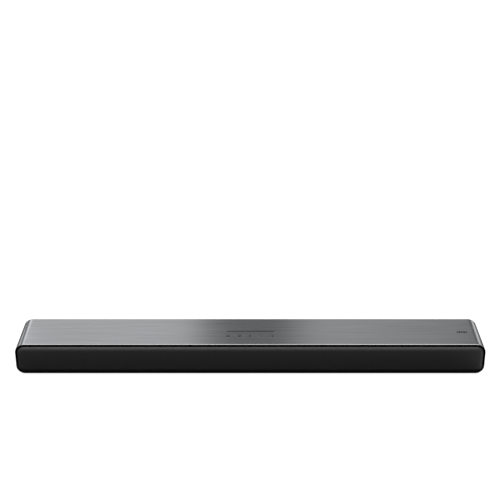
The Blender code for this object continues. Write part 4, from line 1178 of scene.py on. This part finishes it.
def ease(node, finish, bevel=0.0, segments=2):
    """A copy of a node with its doubles merged, its hard edges eased and its rounds smoothed."""
    piece = bpy.data.objects.new(f"{node}_eased", nodes[node].data.copy())
    bpy.context.scene.collection.objects.link(piece)
    activate(piece)
    bpy.ops.object.mode_set(mode="EDIT")
    bpy.ops.mesh.select_all(action="SELECT")
    bpy.ops.mesh.remove_doubles(threshold=TINY / 10)
    if bevel:
        bpy.ops.mesh.dissolve_limited(angle_limit=math.radians(1))
    leave()
    if bevel:
        modifier = piece.modifiers.new("edges", "BEVEL")
        modifier.width = bevel
        modifier.segments = segments
        modifier.limit_method = "ANGLE"
        modifier.angle_limit = math.radians(45)
        apply(piece, "edges")
        weigh_normals(piece, 35)
    else:
        smooth(piece, 40)
    return finish_piece(piece, finish, nodes[node]["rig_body"], (node,))


def ease_nodes():
    for foot in FEET:
        ease(foot, RUBBER, 0.3 * MM, 3)
    for screw in SCREWS:
        ease(screw, SCREW_BLACK, 0.08 * MM)
    for side in SIDES:
        ease(f"wall_hanger_{side}", STEEL, 0.25 * MM)
        ease(f"speaker_lead_{side}", JACKET)
        ease(f"speaker_box_{side}", PLASTIC, 0.3 * MM)
        ease(f"woofer_{side}_frame", BASKET, 0.2 * MM)
        ease(f"woofer_{side}_magnet", FERRITE, 0.4 * MM)
        ease(f"woofer_{side}_cone", CONE)
        ease(f"woofer_{side}_surround", SURROUND_RUBBER)
        ease(f"woofer_{side}_spider", SPIDER_COTTON)
        ease(f"woofer_{side}_gasket", FOAM)
        ease(f"tweeter_{side}_frame", PLASTIC, 0.2 * MM)
        ease(f"tweeter_{side}_dome", DOME_SILK)
    weigh_normals(ease("connector_bay", PLASTIC), 35)
    # The bezel is black plastic, made near-black as painted shade for the gap round the grille
    ease("grille_bezel", PAINTED_SHADE_BLACK)
    ease("grille_frame", PLASTIC)
    ease("front_baffle", PLASTIC)
    ease("mains_inlet", CHIP_BLACK, 0.3 * MM)
    ease("hdmi_socket", STEEL, 0.12 * MM)
    ease("usb_socket", STEEL, 0.12 * MM)
    ease("optical_socket", CHIP_BLACK, 0.3 * MM)
    ease("optical_shutter", CHIP_BLACK, 0.15 * MM)
    ease("ir_receiver", CHIP_BLACK, 0.15 * MM)
    ease("heatsink", ALUMINIUM, 0.2 * MM)
    ease("transformer", CHIP_BLACK, 0.4 * MM)
    ease("wireless_module", BOARD, 0.15 * MM)
    ease("key_guide", PLASTIC, 0.2 * MM)
    ease("status_light_lens", LENS)
    ease("control_ribbon", JACKET)
    for board in ("power_board", "main_board", "control_board"):
        ease(board, BOARD, 0.1 * MM)


# ---------------- contacts and components


def row_of(name, count, pitch, low, high):
    """Copies of one block, side by side along X, about the middle of the first's place."""
    pieces = []
    for index in range(count):
        shift = Vector(((index - (count - 1) / 2) * pitch, 0, 0))
        pieces.append(block(name, Vector(low) + shift, Vector(high) + shift))
    return merge(pieces, name)


def build_contacts():
    centre, mouth = middle("hdmi_socket"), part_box("hdmi_socket")[1].y
    tongue_low, tongue_high = centre.z - 0.4 * MM, centre.z + 0.6 * MM
    rows = []
    above = (tongue_high - TINY, tongue_high + 0.06 * MM)
    below = (tongue_low - 0.06 * MM, tongue_low + TINY)
    for low_z, high_z in (above, below):
        low = (centre.x - 0.18 * MM, mouth - 8 * MM, low_z)
        high = (centre.x + 0.18 * MM, mouth - 1.9 * MM, high_z)
        rows.append(row_of("hdmi_contacts", 10, 0.95 * MM, low, high))
    finish_piece(merge(rows, "hdmi_contacts"), GOLD)

    centre, mouth = middle("usb_socket"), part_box("usb_socket")[1].y
    under = centre.z + 0.3 * MM
    low = (centre.x - 0.5 * MM, mouth - 10 * MM, under - 0.08 * MM)
    high = (centre.x + 0.5 * MM, mouth - 2.2 * MM, under + TINY)
    finish_piece(row_of("usb_contacts", 4, 2.3 * MM, low, high), GOLD)

    centre, mouth = middle("mains_inlet"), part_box("mains_inlet")[1].y
    pins = []
    for sign in (-1, 1):
        place = (centre.x + sign * 4.3 * MM, 0, centre.z)
        pin = drum("mains_pins", place, 1.23 * MM, mouth - 14.2 * MM, mouth - 1.9 * MM, "Y", 24)
        tip = mouth - 1.9 * MM - TINY
        round_edges(pin, lambda a, b: a.y > tip and b.y > tip, 0.7 * MM, 4)
        smooth(pin)
        pins.append(pin)
    finish_piece(merge(pins, "mains_pins"), STEEL)

    centre = middle("optical_socket")
    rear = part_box("optical_socket")[1].y - 12 * MM
    eye = drum("optical_eye", centre, 1.6 * MM, rear - TINY, rear + 1.5 * MM, "Y", 32)
    front = rear + 1.5 * MM - TINY
    round_edges(eye, lambda a, b: a.y > front and b.y > front, 0.7 * MM, 4)
    smooth(eye)
    finish_piece(eye, LENS)


def chip(name, x, y, base, width, depth, height, legs):
    """A flat packaged part, with tinned legs down two of its sides."""
    low = (x - width / 2, y - depth / 2, base + 0.15 * MM)
    case = block(f"{name}_case", low, (x + width / 2, y + depth / 2, base + height))
    top = base + height - TINY
    round_edges(case, lambda a, b: a.z > top and b.z > top, 0.15 * MM, 2)
    corner = (x - width / 2 + MM, y + depth / 2 - MM, 0)
    cut(case, drum("dimple", corner, 0.4 * MM, top - 0.1 * MM, top + MM, sides=16))
    finish_piece(case, CHIP_BLACK)
    rows = []
    pitch = (width - MM) / (legs - 1)
    for sign in (-1, 1):
        near, far = sorted((y + sign * (depth / 2 - 0.1 * MM), y + sign * (depth / 2 + 0.9 * MM)))
        low, high = (x - 0.2 * MM, near, base + 0.01 * MM), (x + 0.2 * MM, far, base + 0.4 * MM)
        rows.append(row_of(f"{name}_legs", legs, pitch, low, high))
    finish_piece(merge(rows, f"{name}_legs"), TIN)


def capacitor(name, x, y, base, radius, height):
    """An electrolytic can in its sleeve, with a rounded foot and a scored, bare top."""
    foot = base + 0.2 * MM
    can = drum(f"{name}_sleeve", (x, y, 0), radius, foot, foot + height, sides=32)
    top = foot + height - TINY
    round_edges(can, lambda a, b: a.z > top and b.z > top, 0.6 * MM, 3)
    low = foot + TINY
    round_edges(can, lambda a, b: a.z < low and b.z < low, 0.4 * MM, 2)
    smooth(can)
    finish_piece(can, SLEEVE_BLUE)
    lid = drum(f"{name}_top", (x, y, 0), radius - 0.9 * MM, top - 0.2 * MM, top + 0.12 * MM, sides=32)
    for size in ((radius, 0.12 * MM), (0.12 * MM, radius)):
        near, far = (x - size[0], y - size[1], top + 0.04 * MM), (x + size[0], y + size[1], top + MM)
        cut(lid, block("score", near, far))
    finish_piece(lid, TIN)


# Middle, radius and height of each can, in millimetres
CAPACITORS = (
    ("bulk_capacitor_1", -112, -12, 8, 22),
    ("bulk_capacitor_2", -92, -12, 8, 22),
    ("filter_capacitor_1", -31, 14, 4, 12),
    ("filter_capacitor_2", -31, -15, 4, 12),
    ("rail_capacitor_1", 120, -14, 4, 11),
    ("rail_capacitor_2", 120, -2, 4, 11),
)

# Middle, width, depth and height of each chip, in millimetres, and its legs on each side
CHIPS = (
    ("sound_processor", 45, -4, 14, 12, 1.4, 20),
    ("amplifier", 52, 11, 8, 5, 1.2, 12),
    ("memory", 38, 11, 6, 5, 1.2, 8),
    ("power_switch", -55, 17, 9, 6, 3, 4),
)


def build_components():
    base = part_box("main_board")[1].z
    for name, x, y, radius, height in CAPACITORS:
        capacitor(name, x * MM, y * MM, base, radius * MM, height * MM)
    for name, x, y, width, depth, height, legs in CHIPS:
        chip(name, x * MM, y * MM, base, width * MM, depth * MM, height * MM, legs)
    for index, x in enumerate((112, 126)):
        deselect_all()
        place = (x * MM, 14 * MM, base + 1.7 * MM)
        bpy.ops.mesh.primitive_torus_add(
            location=place,
            major_radius=3.1 * MM,
            minor_radius=1.5 * MM,
            major_segments=36,
            minor_segments=16,
        )
        coil = settle(f"output_coil_{index + 1}")
        smooth(coil, 60)
        finish_piece(coil, COPPER)


# ---------------- assembly

set_camera()
set_studio()
build_top_cover()
build_bottom_cover()
build_rear_panel()
build_grille_cloth()
for key in KEYS:
    build_key(key)
ease_nodes()
build_contacts()
build_components()

for node in nodes.values():
    if not node.data.materials:
        node.data.materials.append(PLASTIC)
    for index in range(len(node.data.materials)):
        node.data.materials[index] = PLASTIC
